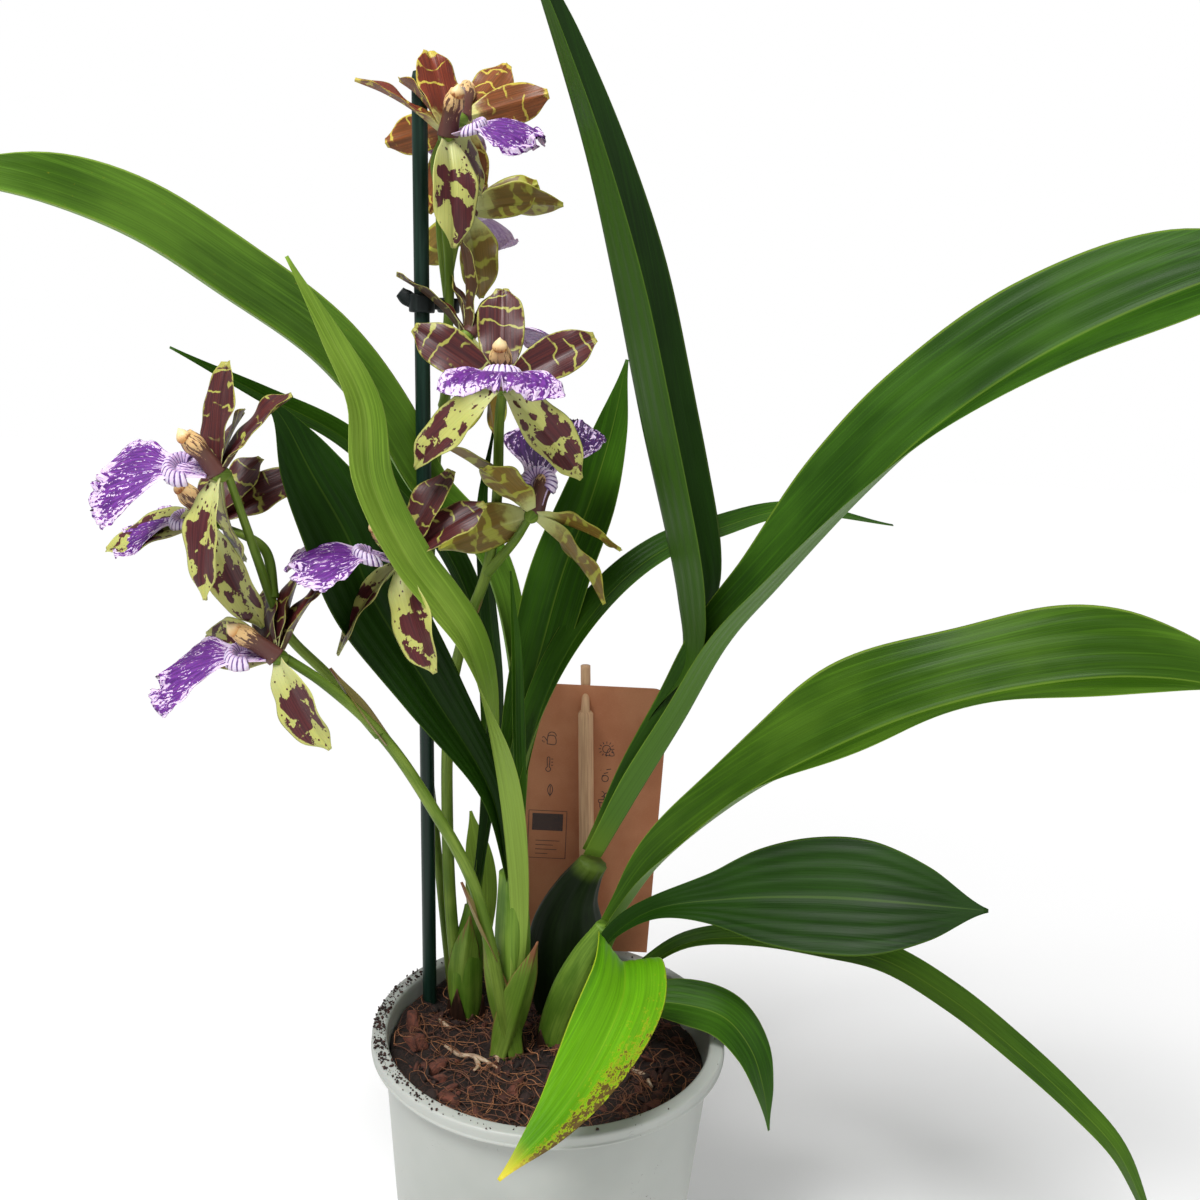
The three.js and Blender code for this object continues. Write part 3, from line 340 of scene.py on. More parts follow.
def leaf_look(name, deep, bright, under, margin, scorch=0.0, keel=0.3):
    """Satin leaf: faint parallel veins, pale margin and keel, paler underside, scorched marks if any."""
    look = Look(name, roughness=0.42, IOR=1.35, Specular_IOR_Level=0.18)
    grain, spot = look.attribute("grain"), look.attribute("spot")
    u, s, face = look.split(spot)
    wide = look.math("ABSOLUTE", u)
    veins = look.noise(look.scaled(grain, (1.3, 0.012, 1.0)), 1.0, detail=2.0)
    fine = look.noise(look.scaled(grain, (5.0, 0.05, 1.0)), 1.0, detail=1.0)
    cloud = look.noise(look.scaled(grain, (0.05, 0.02, 1.0)), 1.0, detail=3.0)
    upper = look.mix(look.step(cloud, 0.35, 0.65), rgb(*deep), rgb(*bright))
    upper = look.mix(look.step(veins, 0.5, 0.7, 0.0, 0.22), upper, rgb(*[c * 1.35 for c in bright]))
    upper = look.mix(look.step(fine, 0.3, 0.7, 0.0, 0.3), upper, rgb(*[c * 0.7 for c in deep]))
    lower = look.mix(look.step(veins, 0.4, 0.7, 0.0, 0.45), rgb(*under), rgb(*[c * 0.8 for c in under]))
    colour = look.mix(look.step(face, 0.35, 0.65), lower, upper)
    colour = look.mix(look.step(s, 0.0, 0.07, 0.6, 0.0), colour, rgb(*margin))
    colour = look.mix(look.step(wide, 0.01, 0.035, keel, 0.0), colour, rgb(*margin))
    colour = look.mix(look.step(wide, 0.955, 0.99, 0.0, 0.7), colour, rgb(*margin))
    if scorch:
        patch = look.noise(look.scaled(grain, (0.9, 0.6, 1.0)), 1.0, detail=6.0, rough=0.7)
        zone = look.math("MULTIPLY", look.step(s, 0.3, 0.85), look.step(u, 0.2, -0.85))
        amount = look.math("MULTIPLY", zone, scorch)
        limit = look.math("SUBTRACT", 0.76, look.math("MULTIPLY", amount, 0.34))
        near = look.math("SUBTRACT", patch, limit)
        colour = look.mix(look.step(near, -0.12, 0.03, 0.0, 0.5), colour, rgb(168, 150, 30))
        colour = look.mix(look.step(near, 0.0, 0.05, 0.0, 0.9), colour, rgb(70, 42, 28))
    if scorch > 0.5:
        colour = look.mix(look.step(s, 0.9, 1.0, 0.0, 0.85), colour, rgb(206, 190, 56))
    height = look.math("ADD", veins, look.math("MULTIPLY", fine, 0.5))
    rough = look.step(cloud, 0.3, 0.7, 0.36, 0.5)
    return look.finish(colour, height, strength=0.16, distance=0.0004, roughness=rough)


def stem_look(name, green, pale, dark, papery=None, neck=None):
    """Green stem: lengthwise lines and soft blotches, drying to papery brown at bract tips."""
    look = Look(name, roughness=0.48, IOR=1.35, Specular_IOR_Level=0.3)
    grain, spot = look.attribute("grain"), look.attribute("spot")
    u, s, _ = look.split(spot)
    lines = look.noise(look.scaled(grain, (1.6, 0.05, 1.0)), 1.0, detail=2.0)
    cloud = look.noise(look.scaled(grain, (0.15, 0.05, 1.0)), 1.0, detail=3.0)
    colour = look.mix(look.step(cloud, 0.35, 0.65), rgb(*green), rgb(*pale))
    colour = look.mix(look.step(lines, 0.35, 0.7, 0.0, 0.45), colour, rgb(*dark))
    if papery:
        ragged = look.math("ADD", s, look.step(lines, 0.3, 0.7, -0.12, 0.12))
        dry = look.step(ragged, 0.78, 0.98)
        wide = look.math("ADD", look.math("ABSOLUTE", u), look.step(cloud, 0.3, 0.7, -0.1, 0.1))
        edge = look.step(wide, 0.9, 1.0)
        colour = look.mix(look.math("MAXIMUM", dry, look.math("MULTIPLY", edge, 0.8)), colour, rgb(*papery))
    if neck:
        colour = look.mix(look.step(s, 0.9, 0.99), colour, rgb(*neck))
    return look.finish(colour, lines, strength=0.3, distance=0.0003)


def shifted_grain(look, grain, factors, wander):
    """Grain coordinates at a new scale, made uneven by a slow noise."""
    moved = {0: look.scaled(grain, factors), 1: look.join(wander, wander, 0.0)}
    return look.add("VectorMath", moved, operation="ADD").outputs[0]


def bars_mark(look, grain, s, wander, count, thin):
    """Dark all over but for thin broken lines across, which thicken with thin."""
    seed = look.split(grain)[2]
    slow = look.noise(grain, 0.16, detail=2.0, rough=0.4)
    drift = look.math("ADD", look.math("MULTIPLY", slow, 1.7), look.math("MULTIPLY", seed, 0.37))
    phase = look.math("FRACT", look.math("ADD", look.math("MULTIPLY", s, count), drift))
    ragged = look.math("ADD", look.math("SUBTRACT", phase, 0.5), look.step(wander, 0.3, 0.7, -0.05, 0.05))
    line = look.step(look.math("ABSOLUTE", ragged), thin, thin * 0.5)
    broken = look.step(look.noise(look.scaled(grain, (0.16, 0.22, 3.1)), 1.0, detail=1.0), 0.42, 0.5)
    return look.math("SUBTRACT", 1.0, look.math("MULTIPLY", line, broken))


def blotches_mark(look, grain, s, wander):
    """Merged blotches about the middle, with small dots beside them."""
    spread = look.cells(shifted_grain(look, grain, (0.27, 0.2, 1.7), wander), 1.0, feature="SMOOTH_F1")
    field = look.math("ADD", spread, look.step(wander, 0.3, 0.7, 0.12, -0.12))
    limit = look.math("MULTIPLY", look.step(s, 0.1, 0.42), look.step(s, 1.05, 0.8))
    bound = look.math("ADD", 0.1, look.math("MULTIPLY", limit, 0.39))
    blotch = look.step(look.math("SUBTRACT", field, bound), 0.02, -0.02)
    dots = look.cells(shifted_grain(look, grain, (0.55, 0.45, 2.3), wander), 1.0)
    return look.math("MAXIMUM", blotch, look.step(dots, 0.22, 0.16))


def petal_look(name, roughness, glow=0.06):
    """The start of each flower material: soft, a little translucent, hardly glossy."""
    constants = {"Subsurface_Weight": glow, "Subsurface_Scale": 0.0015, "Specular_IOR_Level": 0.3}
    return Look(name, roughness=roughness, **constants)


def tepal_look(name, ground, blotch, inner, kind, margin=0.9, base=0.0):
    """Tepal: maroon blotches or bars on a yellow-green ground, with a clear margin and base."""
    look = petal_look(name, 0.42)
    grain, spot = look.attribute("grain"), look.attribute("spot")
    u, s, face = look.split(spot)
    wander = look.noise(grain, 0.3, detail=4.0, rough=0.65)
    if kind == "blotches":
        mark = blotches_mark(look, grain, s, wander)
    else:
        mark = bars_mark(look, grain, s, wander, *((5, 0.1) if kind == "bars" else (4.5, 0.25)))
    clear = look.math("ADD", look.math("ABSOLUTE", u), look.step(wander, 0.3, 0.7, -0.06, 0.06))
    mark = look.math("MULTIPLY", mark, look.step(clear, margin - 0.04, margin + 0.04, 1.0, 0.0))
    tip = look.math("ADD", s, look.step(wander, 0.3, 0.7, -0.05, 0.05))
    mark = look.math("MULTIPLY", mark, look.step(tip, 0.94, 0.98, 1.0, 0.0))
    if base:
        mark = look.math("MULTIPLY", mark, look.step(tip, base - 0.1, base + 0.1))
    mark = look.math("MULTIPLY", mark, look.step(face, 0.3, 0.6, 0.92 if kind == "bars" else 0.72, 1.0))
    vein = look.noise(look.scaled(grain, (2.2, 0.06, 1.0)), 1.0, detail=1.0)
    light = look.mix(look.step(vein, 0.35, 0.7, 0.0, 0.35), rgb(*ground), rgb(*[c * 0.86 for c in ground]))
    light = look.mix(look.step(s, 0.0, 0.4, 0.7, 0.0), light, rgb(188, 192, 138))
    dark = look.mix(look.step(vein, 0.35, 0.65), rgb(*blotch), rgb(*inner))
    height = look.math("ADD", vein, look.math("MULTIPLY", wander, 0.4))
    return look.finish(look.mix(mark, light, dark), height, strength=0.3, distance=0.0003)


def lip_look(name, white, violet, deep, under, cover):
    """Lip: violet broken by white flecks that run out along the fan and crowd at its frilled margin."""
    look = petal_look(name, 0.55)
    grain, spot = look.attribute("grain"), look.attribute("spot")
    u, s, face = look.split(spot)
    seed = look.split(grain)[2]
    wander = look.noise(grain, 0.35, detail=3.0)
    fan = look.join(look.math("MULTIPLY", u, 15.0), look.math("MULTIPLY", s, 12.0), seed)
    bent = shifted_grain(look, fan, (1.0, 1.0, 1.0), look.math("MULTIPLY", wander, 3.0))
    fleck = look.cells(bent, 1.0)
    ragged = look.noise(bent, 2.2, detail=3.0, rough=0.65)
    field = look.math("ADD", fleck, look.step(ragged, 0.25, 0.75, -0.27, 0.27))
    edge = look.math("MAXIMUM", look.step(look.math("ABSOLUTE", u), 0.55, 1.0), look.step(s, 0.68, 1.0))
    claw = look.step(s, 0.3, 0.46, 0.35, 0.0)
    reach = look.math("ADD", look.step(edge, 0.0, 1.0, 0.17, cover), claw)
    over = look.math("SUBTRACT", field, reach)
    shade = look.noise(look.scaled(fan, (1.6, 0.5, 1.0)), 1.0, detail=2.0)
    dark = look.mix(look.step(shade, 0.35, 0.65), rgb(*violet), rgb(*deep))
    colour = look.mix(look.step(over, -0.05, 0.07), rgb(*white), dark)
    back = look.mix(look.step(over, 0.0, 0.3, 0.0, 0.4), rgb(*under), rgb(*violet))
    colour = look.mix(look.step(face, 0.35, 0.6), back, colour)
    return look.finish(colour, field, strength=0.3, distance=0.0003)


def callus_look():
    """Callus: lilac ridges with thin dark violet lines between them, fading below."""
    look = Look("callus_ridges", roughness=0.45, Subsurface_Weight=0.1, Subsurface_Scale=0.0015)
    grain, spot = look.attribute("grain"), look.attribute("spot")
    _, across, line = look.split(spot)
    wander = look.noise(grain, 0.8, detail=2.0)
    ragged = look.math("ADD", line, look.step(wander, 0.3, 0.7, -0.12, 0.12))
    pale = look.mix(look.step(across, 0.3, 0.9), rgb(186, 160, 200), rgb(214, 200, 222))
    colour = look.mix(look.step(ragged, 0.08, 0.34), rgb(92, 58, 122), pale)
    return look.finish(colour, ragged, strength=0.3, distance=0.0003)


def column_look(name, low, high, streak, least, most):
    """Column: cream with maroon streaks that thin out towards its cap."""
    look = petal_look(name, 0.42, 0.08)
    grain, spot = look.attribute("grain"), look.attribute("spot")
    s = look.split(spot)[1]
    streaks = look.noise(look.scaled(grain, (1.5, 0.3, 1.0)), 1.0, detail=4.0, rough=0.6)
    colour = look.mix(look.step(s, 0.2, 0.8), rgb(*low), rgb(*high))
    over = look.math("SUBTRACT", streaks, look.step(s, 0.25, 1.0, least, most))
    colour = look.mix(look.step(over, 0.0, 0.05, 0.0, 0.9), colour, rgb(*streak))
    return look.finish(colour, streaks, strength=0.25, distance=0.0003)


# Leaves: deep and bright green above, the underside, then the margin and keel.
GREEN_LEAF = leaf_look("leaf_green", (32, 64, 6), (52, 90, 14), (84, 122, 44), (116, 144, 48))
DARK_LEAF = leaf_look("leaf_dark_green", (17, 42, 3), (28, 58, 7), (52, 84, 22), (78, 106, 32))
PALE_LEAF = leaf_look("leaf_pale_green", (44, 76, 8), (68, 102, 20), (96, 132, 50), (124, 150, 54))
SPOTTED_LEAF = leaf_look(
    "leaf_spotted", (54, 86, 16), (84, 120, 34), (112, 148, 66), (134, 160, 66), scorch=0.4
)
FRONT_LEAF = leaf_look(
    "leaf_front_green", (70, 124, 6), (90, 146, 12), (104, 152, 34), (164, 180, 44), scorch=1.0, keel=0.1
)
LIME_LEAF = leaf_look("leaf_lime_green", (92, 124, 34), (122, 150, 54), (126, 152, 62), (148, 168, 78))
# Stems: the green, its paler and darker streaks, then dry papery edges or a neck where there is one.
STEM = stem_look("stem_green", (88, 114, 34), (116, 138, 54), (60, 88, 24))
GROWTH = stem_look("growth_green", (76, 108, 28), (110, 140, 50), (54, 86, 22))
BULB = stem_look("bulb_green", (18, 32, 9), (26, 42, 13), (12, 22, 8), neck=(84, 106, 36))
BRACT = stem_look("bract_green", (88, 118, 34), (116, 140, 56), (66, 92, 28), (116, 76, 50))
HUSK = stem_look("husk_papery", (120, 112, 56), (138, 120, 74), (90, 76, 44), (106, 68, 44))
OLD_SHEATH = stem_look("old_sheath", (42, 26, 18), (60, 38, 26), (22, 14, 11), (84, 56, 40))
# Flowers: the ground, then the mark's two shades and its kind.
BLOTCHED = tepal_look("tepal_blotched", (168, 170, 92), (78, 32, 34), (60, 24, 28), "blotches", 0.86)
BARRED = tepal_look("tepal_barred", (156, 154, 72), (78, 32, 30), (56, 22, 26), "bars", 0.93)
RUSSET = tepal_look("tepal_russet", (186, 168, 66), (118, 48, 26), (92, 34, 20), "bars", 0.93, 0.2)
REVERSE = tepal_look("tepal_reverse", (154, 154, 56), (98, 42, 24), (78, 30, 20), "bands", 0.9, 0.22)
LIP = lip_look("lip_violet", (212, 190, 218), (106, 44, 136), (74, 24, 104), (170, 148, 174), 0.56)
LIP_DARK = lip_look("lip_dark_violet", (200, 178, 208), (62, 22, 86), (38, 12, 56), (150, 122, 160), 0.44)
CALLUS = callus_look()
COLUMN = column_look("column_cream", (176, 132, 96), (208, 172, 118), (64, 22, 30), 0.26, 0.58)
CAP = column_look("anther_cap", (198, 140, 74), (222, 200, 152), (140, 80, 40), 0.5, 0.82)


# ---------------------------------------------------------------- plant tables


def planted(points):
    """Places given from the medium's surface, as places from the floor."""
    return [(x, y, MEDIUM_TOP + z) for x, y, z in points]


LEAVES = {
    "leaf_right_high": {
        "path": ((15, 19, 68), (28, 15, 96), (41, 11, 123), (55, 6, 154), (69, 2, 174), (94, -5, 208),
            (113, -11, 230), (146, -21, 257), (189, -34, 279), (211, -40, 282)),
        "width": (7, 11, 12.5, 15, 21, 23.5, 24, 19, 0.8),
        "face": ((-0.7, -0.2, 0.5), (-0.6, -0.43, 0.77), (-0.15, -0.8, 0.74)),
        "fold": (76, 60, 42, 32, 18),
    },
    "leaf_tall": {
        "path": ((27, 18, 110), (40, 13, 145), (37, 8, 168), (21, 1, 227), (10, -6, 270), (1, -12, 302),
            (-8, -17, 328), (-22, -26, 365)),
        "width": (3, 7, 18, 21, 21.5, 20, 15, 9, 0.6),
        "face": ((0.3, -0.3, 0.8), (0.95, -0.3, 0.2), (0.95, -0.3, 0)),
        "fold": (50, 45, 42, 40),
    },
    "leaf_right_long": {
        "path": ((15, 8, 36), (25, 8, 54), (36, 5, 73), (62, -3, 102), (83, -9, 119), (114, -16, 138),
            (145, -24, 151), (175, -32, 158), (201, -38, 157), (219.9, -44, 148)),
        "width": (4, 8, 12, 19, 24, 25, 23, 15, 0.6),
        "face": ((-0.7, -0.3, 0.5), (-0.26, -0.49, 0.92), (0, -0.5, 0.9)),
        "fold": (60, 45, 41, 36, 30),
        "wave": (2.2, 3.4, 0.1),
    },
    "leaf_oval": {
        "path": ((15, 2, 36), (22, 0, 48), (35, -6, 61), (59, -14, 70), (87, -24, 77), (108, -31, 80),
            (137, -38, 82)),
        "width": (3.5, 4.5, 5, 9, 16, 19.5, 19, 12, 0.6),
        "face": ((-0.5, -0.5, 0.7), (0, -0.75, 0.66), (0.05, -0.75, 0.66)),
        "fold": (50, 20, 12, 10),
    },
    "leaf_drooping": {
        "path": ((20, 24, 6), (34, 28, 19), (50, 29, 30), (74, 28, 34), (100, 22, 35), (121, 16, 34),
            (144, 9, 24), (167, 2, 9), (188, -5, -7), (202, -11, -20), (211, -16, -36), (218, -22, -53)),
        "width": (3, 4.5, 6, 7, 7.5, 7.5, 7, 5.5, 0.6),
        "face": ((-0.6, -0.3, 0.7), (0.1, -0.4, 0.9), (0.4, -0.4, 0.8)),
        "fold": (40, 15, 10),
    },
    "leaf_front": {
        "path": ((13, 0, 2), (17, -6, 24), (21, -14, 42), (24, -24, 50), (24, -38, 46), (17, -56, 37),
            (6, -74, 28), (-10, -90, 18)),
        "width": (3, 4.5, 8, 12.5, 14, 13, 10, 5.5, 0.6),
        "face": ((-0.3, 0.8, 0.5), (0.4, -0.2, 0.9), (0, -0.5, 0.9), (-0.2, -0.6, 0.8)),
        "fold": (40, 32, 18, 10),
    },
    "leaf_short": {
        "path": ((18, 4, 10), (32, 4, 19), (49, 1, 21), (62, -3, 19), (71, -7, 10), (76, -10, -3),
            (79, -12, -18)),
        "width": (3, 5.5, 9, 9.5, 8, 5, 0.6),
        "face": ((-0.5, -0.4, 0.8), (0.1, -0.55, 0.8), (0.7, -0.6, 0.4)),
        "fold": (35, 15, 12),
    },
    "leaf_lime": {
        "path": ((-14, -5, 16), (-14, -5, 36), (-15, -3, 60), (-19, -10, 100), (-25, -20, 137),
            (-31, -26, 158), (-38, -30, 170), (-47, -35, 184), (-57, -41, 208), (-59, -44, 230),
            (-67, -48, 248), (-78, -52, 269)),
        "width": (3.5, 5.5, 7, 8.5, 9.5, 9.3, 8, 6.6, 4.5, 0.6),
        "face": ((0.3, 0.9, 0.1), (0.6, 0.6, 0.4), (0.5, -0.3, 0.6), (0.4, -0.7, 0.5), (0.4, -0.7, 0.5)),
        "fold": (48, 36, 24, 18, 15),
    },
    "leaf_left_broad": {
        "path": ((-17, 0, 68), (-23, -4, 99), (-43, -14, 138), (-60, -20, 168), (-68, -23, 189),
            (-78, -26, 208), (-86, -28, 224), (-91, -29, 230)),
        "width": (4, 6, 7.5, 10, 12.5, 14.5, 14, 9, 0.6),
        "face": ((0.3, -0.5, 0.6), (0.3, -0.85, 0.4), (0.3, -0.9, 0.4)),
        "fold": (50, 20, 14, 10),
    },
    "leaf_inner_small": {
        "path": ((-14, 3, 70), (-15, 3, 100), (-16, 1, 124), (-17, 0, 149), (-19, -2, 176)),
        "width": (2.5, 3.5, 3.5, 2.5, 0.5),
        "face": ((0.6, -0.7, 0.2), (0.6, -0.7, 0.2)),
        "fold": (50, 40, 30),
    },
    "leaf_behind_right": {
        "path": ((-14, 7, 68), (-13, 9, 100), (-2, 11, 140), (14, 15, 166), (32, 22, 181), (50, 28, 188),
            (77, 38, 195), (116, 48, 190)),
        "width": (3.5, 6.5, 8, 8.5, 8.5, 7.5, 6, 3.5, 0.6),
        "face": ((-0.8, -0.4, 0.2), (-0.6, -0.5, 0.6), (-0.1, -0.45, 0.9)),
        "fold": (50, 25, 15, 10),
    },
    "leaf_upright": {
        "path": ((-15, 11, 66), (-16, 14, 90), (-14, 17, 119), (-8, 20, 148), (-2, 22, 173), (6, 23, 197),
            (12, 23, 221), (16, 23, 245)),
        "width": (3.5, 5, 7, 9, 11.5, 11.5, 10, 6, 0.6),
        "face": ((-0.3, -0.8, 0.2), (-0.3, -0.9, 0.2)),
        "fold": (45, 20, 15, 12),
    },
    "leaf_left_long": {
        "path": ((-17, 15, 62), (-18, 22, 102), (-21, 28, 138), (-32, 30, 173), (-55, 26, 196),
            (-69, 18, 220), (-86, 8, 241), (-110, -6, 259), (-132, -20, 274), (-153, -32, 282),
            (-171, -40, 285), (-187, -46, 286)),
        "width": (4, 6, 8, 11, 15, 18, 19, 16, 0.8),
        "face": ((0.7, -0.5, 0.3), (0.5, -0.5, 0.6), (0.44, -0.49, 0.8)),
        "fold": (55, 45, 38, 34),
    },
    "leaf_left_narrow": {
        "path": ((-31, 30, 44), (-30, 42, 95), (-33, 46, 136), (-41, 47, 162), (-57, 44, 188),
            (-82, 36, 213), (-107, 26, 227), (-134, 14, 242)),
        "width": (2.5, 4, 5.5, 6.5, 7, 6, 4, 0.5),
        "face": ((0.6, -0.5, 0.3), (0.5, -0.5, 0.6), (0.3, -0.75, 0.6)),
        "fold": (45, 25, 15),
    },
    "leaf_dark_narrow": {
        "path": ((-30, 30, 44), (-26, 34, 85), (-25, 36, 121), (-30, 37, 165), (-32, 36, 194),
            (-29, 34, 219)),
        "width": (2.5, 3.5, 4, 4, 3, 0.5),
        "face": ((-0.4, -0.8, 0.2), (-0.4, -0.8, 0.2)),
        "fold": (45, 25, 20),
    },
    "leaf_pale_short": {
        "path": ((-29, 30, 14), (-29, 40, 27), (-31, 52, 45), (-37, 66, 64)),
        "width": (2.5, 5, 6.5, 5, 0.6),
        "face": ((0, -0.7, 0.7), (0, -0.7, 0.7)),
        "fold": (35, 20, 15),
    },
}

SHEATHS = {
    "sheath_front_right": {
        "path": ((-16, -5, -2), (-11, -7, 20), (-5, -8, 48)),
        "width": (5.5, 7.5, 6, 0.4),
        "face": ((-0.35, 0.95, 0.1), (-0.45, 0.85, 0.2)),
        "fold": (38, 30, 20),
    },
    "sheath_front_left": {
        "path": ((-13, -5, 0), (-18, -6, 20), (-24, -5, 46)),
        "width": (5, 6.5, 5, 0.4),
        "face": ((0.3, 0.95, 0.1), (0.4, 0.85, 0.2)),
        "fold": (38, 30, 20),
    },
    "sheath_back": {
        "path": ((-33, 16, 2), (-33, 15, 20), (-31, 16, 44)),
        "width": (6, 7.5, 5.5, 0.4),
        "face": ((0, 1, 0.1), (0, 1, 0.1)),
        "fold": (38, 30, 20),
    },
}

FLOWERS = [
    {
        "at": (-98, -48, 209),
        "face": (-0.6, -0.78, 0.1),
        "dorsal": {"to": (0, 0.25, 0.97)},
        "petals": ({"to": (0.66, -0.05, 0.74), "face": (-0.75, -0.45, 0.5)}, {"to": (-0.05, 0.85, 0.5)}),
        "laterals": ({"to": (-0.06, -0.25, -0.96)}, {"to": (0, 0.6, -0.8)}),
        "column": (-0.5, -0.1, 0.86),
        "lip": (-1, -0.05, 0),
        "lip_up": (0, -0.6, 0.8),
    },
    {
        "at": (-108, -26, 191),
        "face": (-0.5, -0.8, 0.2),
        "dorsal": {"to": (-0.1, 0.75, 0.65)},
        "petals": ({"to": (0.5, 0.3, 0.75), "share": 0.8}, {"to": (0.86, 0.25, 0.5)}),
        "laterals": ({"to": (0.5, -0.3, -0.8)}, {"to": (-0.9, 0.1, -0.28), "face": (-0.2, -0.6, 0.8)}),
        "column": (-0.5, 0.1, 0.8),
        "lip": (-0.95, 0.15, -0.05),
        "lip_up": (0, -0.45, 0.9),
        "lip_share": 0.8,
    },
    {
        "at": (-83, -44, 155),
        "face": (-0.65, -0.65, 0.3),
        "dorsal": {"to": (0.12, 0.5, 0.86), "face": (-0.85, -0.4, 0.3)},
        "petals": ({"to": (0.5, 0.2, 0.84), "face": (-0.8, -0.3, 0.5)}, {"to": (-0.35, 0.8, 0.5)}),
        "laterals": ({"to": (0.55, -0.35, -0.76), "share": 0.88}, {"to": (-0.8, 0.6, 0)}),
        "column": (-0.75, -0.15, 0.64),
        "lip": (-0.97, -0.05, -0.1),
        "lip_up": (0, -0.38, 0.92),
    },
    {
        "at": (-50, -27, 182),
        "face": (-0.6, -0.7, 0.3),
        "dorsal": {"to": (0.42, 0.25, 0.87)},
        "petals": ({"to": (0.8, 0.1, 0.6)}, {"to": (-0.35, 0.6, 0.7)}),
        "laterals": ({"to": (0.35, -0.4, -0.84)}, {"to": (-0.55, 0, -0.84), "face": (-0.7, -0.4, 0.5)}),
        "column": (-0.35, -0.3, 0.88),
        "lip": (-0.85, -0.5, 0.12),
        "lip_up": (-0.1, -0.3, 0.95),
        "lip_share": 0.95,
    },
    {
        "at": (-21, -28, 236),
        "face": (-0.05, -0.95, 0.2),
        "dorsal": {"to": (-0.06, 0.35, 0.94), "share": 0.95},
        "petals": ({"to": (-0.86, 0.05, 0.52)}, {"to": (0.85, 0.1, 0.5)}),
        "laterals": (
            {"to": (-0.71, 0.05, -0.7), "face": (-0.5, -0.75, 0.5)},
            {"to": (0.67, 0.1, -0.72), "face": (0.4, -0.8, 0.4)},
        ),
        "column": (0, -0.35, 0.94),
        "lip": (0.08, -1, 0.2),
        "lip_up": (0, 0, 1),
    },
    {
        "at": (-12, -12, 196),
        "face": (0.35, 0.8, 0.45),
        "dorsal": {"to": (-0.55, -0.55, 0.62), "share": 0.8},
        "petals": (
            {"to": (-0.8, -0.05, 0.6), "face": (0.5, 0.3, 0.8), "share": 1.15},
            {"to": (0.9, -0.3, -0.25), "face": (0.3, 0.4, 0.85)},
        ),
        "laterals": ({"to": (-0.75, 0.3, -0.35)}, {"to": (0.67, -0.15, -0.72), "face": (0.75, 0.4, 0.5)}),
        "column": (0.25, 0.2, 0.95),
        "lip": (0.15, 0.45, 0.85),
        "lip_up": (-0.2, -0.8, 0.55),
    },
    {
        "at": (-44, 8, 310.5),
        "face": (0.55, -0.8, 0.1),
        "dorsal": {"to": (-0.25, 0.25, 0.93), "share": 0.86},
        "petals": (
            {"to": (-0.85, -0.25, 0.44), "face": (0.55, -0.15, 0.8)},
            {"to": (-0.55, 0.55, 0.6), "face": (0.6, 0, 0.78)},
        ),
        "laterals": (
            {"to": (0.12, -0.3, -0.94)},
            {"to": (0.3, 0.8, -0.5), "face": (0.85, -0.2, 0.2), "share": 0.8},
        ),
        "column": (0.15, -0.3, 0.94),
        "lip": (0.9, -0.35, 0.1),
        "lip_up": (0, -0.45, 0.9),
        "lip_share": 0.85,
    },
    {
        "at": (-41, 40, 291),
        "face": (0.35, 0.85, 0.1),
        "dorsal": {"to": (-0.1, 0.6, 0.8)},
        "petals": ({"to": (-0.7, 0.5, -0.6), "share": 0.9}, {"to": (0.9, -0.05, 0.38), "share": 0.85}),
        "laterals": (
            {"to": (0.97, 0, 0.12), "face": (0.1, 0.6, 0.8), "share": 0.92},
            {"to": (0.2, -0.1, -0.95), "share": 0.8},
        ),
        "column": (0.2, 0.5, 0.85),
        "lip": (0.1, 0.98, -0.1),
        "lip_up": (0, 0, 1),
        "lip_share": 0.8,
    },
    {
        "at": (-43, 34, 320),
        "face": (0.3, 0.9, 0.2),
        "dorsal": {"to": (0.4, 0.6, 0.66)},
        "petals": ({"to": (-0.8, 0.4, -0.2)}, {"to": (0.88, 0.2, 0.32)}),
        "laterals": ({"to": (-0.35, 0.5, -0.8)}, {"to": (0, 0.55, -0.83)}),
        "column": (0, 0.4, 0.9),
        "lip": (-0.3, 0.95, -0.05),
        "lip_up": (0, 0, 1),
        "lip_share": 0.8,
    },
    {
        "at": (-37, 14, 250),
        "face": (0.7, 0.5, 0.5),
        "dorsal": {"to": (-0.1, 0.2, 0.97), "face": (0.9, 0.3, 0.2)},
        "petals": (
            {"to": (-0.76, 0.2, 0.6), "face": (0.64, 0.05, 0.76)},
            {"to": (-0.3, 0.75, 0.6), "face": (0.7, 0.2, 0.6)},
        ),
        "laterals": ({"to": (-0.1, 0.3, -0.94)}, {"to": (0.3, 0.1, -0.94)}),
        "column": (0.45, 0.4, 0.8),
        "lip": (0.85, 0.5, 0.1),
        "lip_up": (0, 0, 1),
    },
]

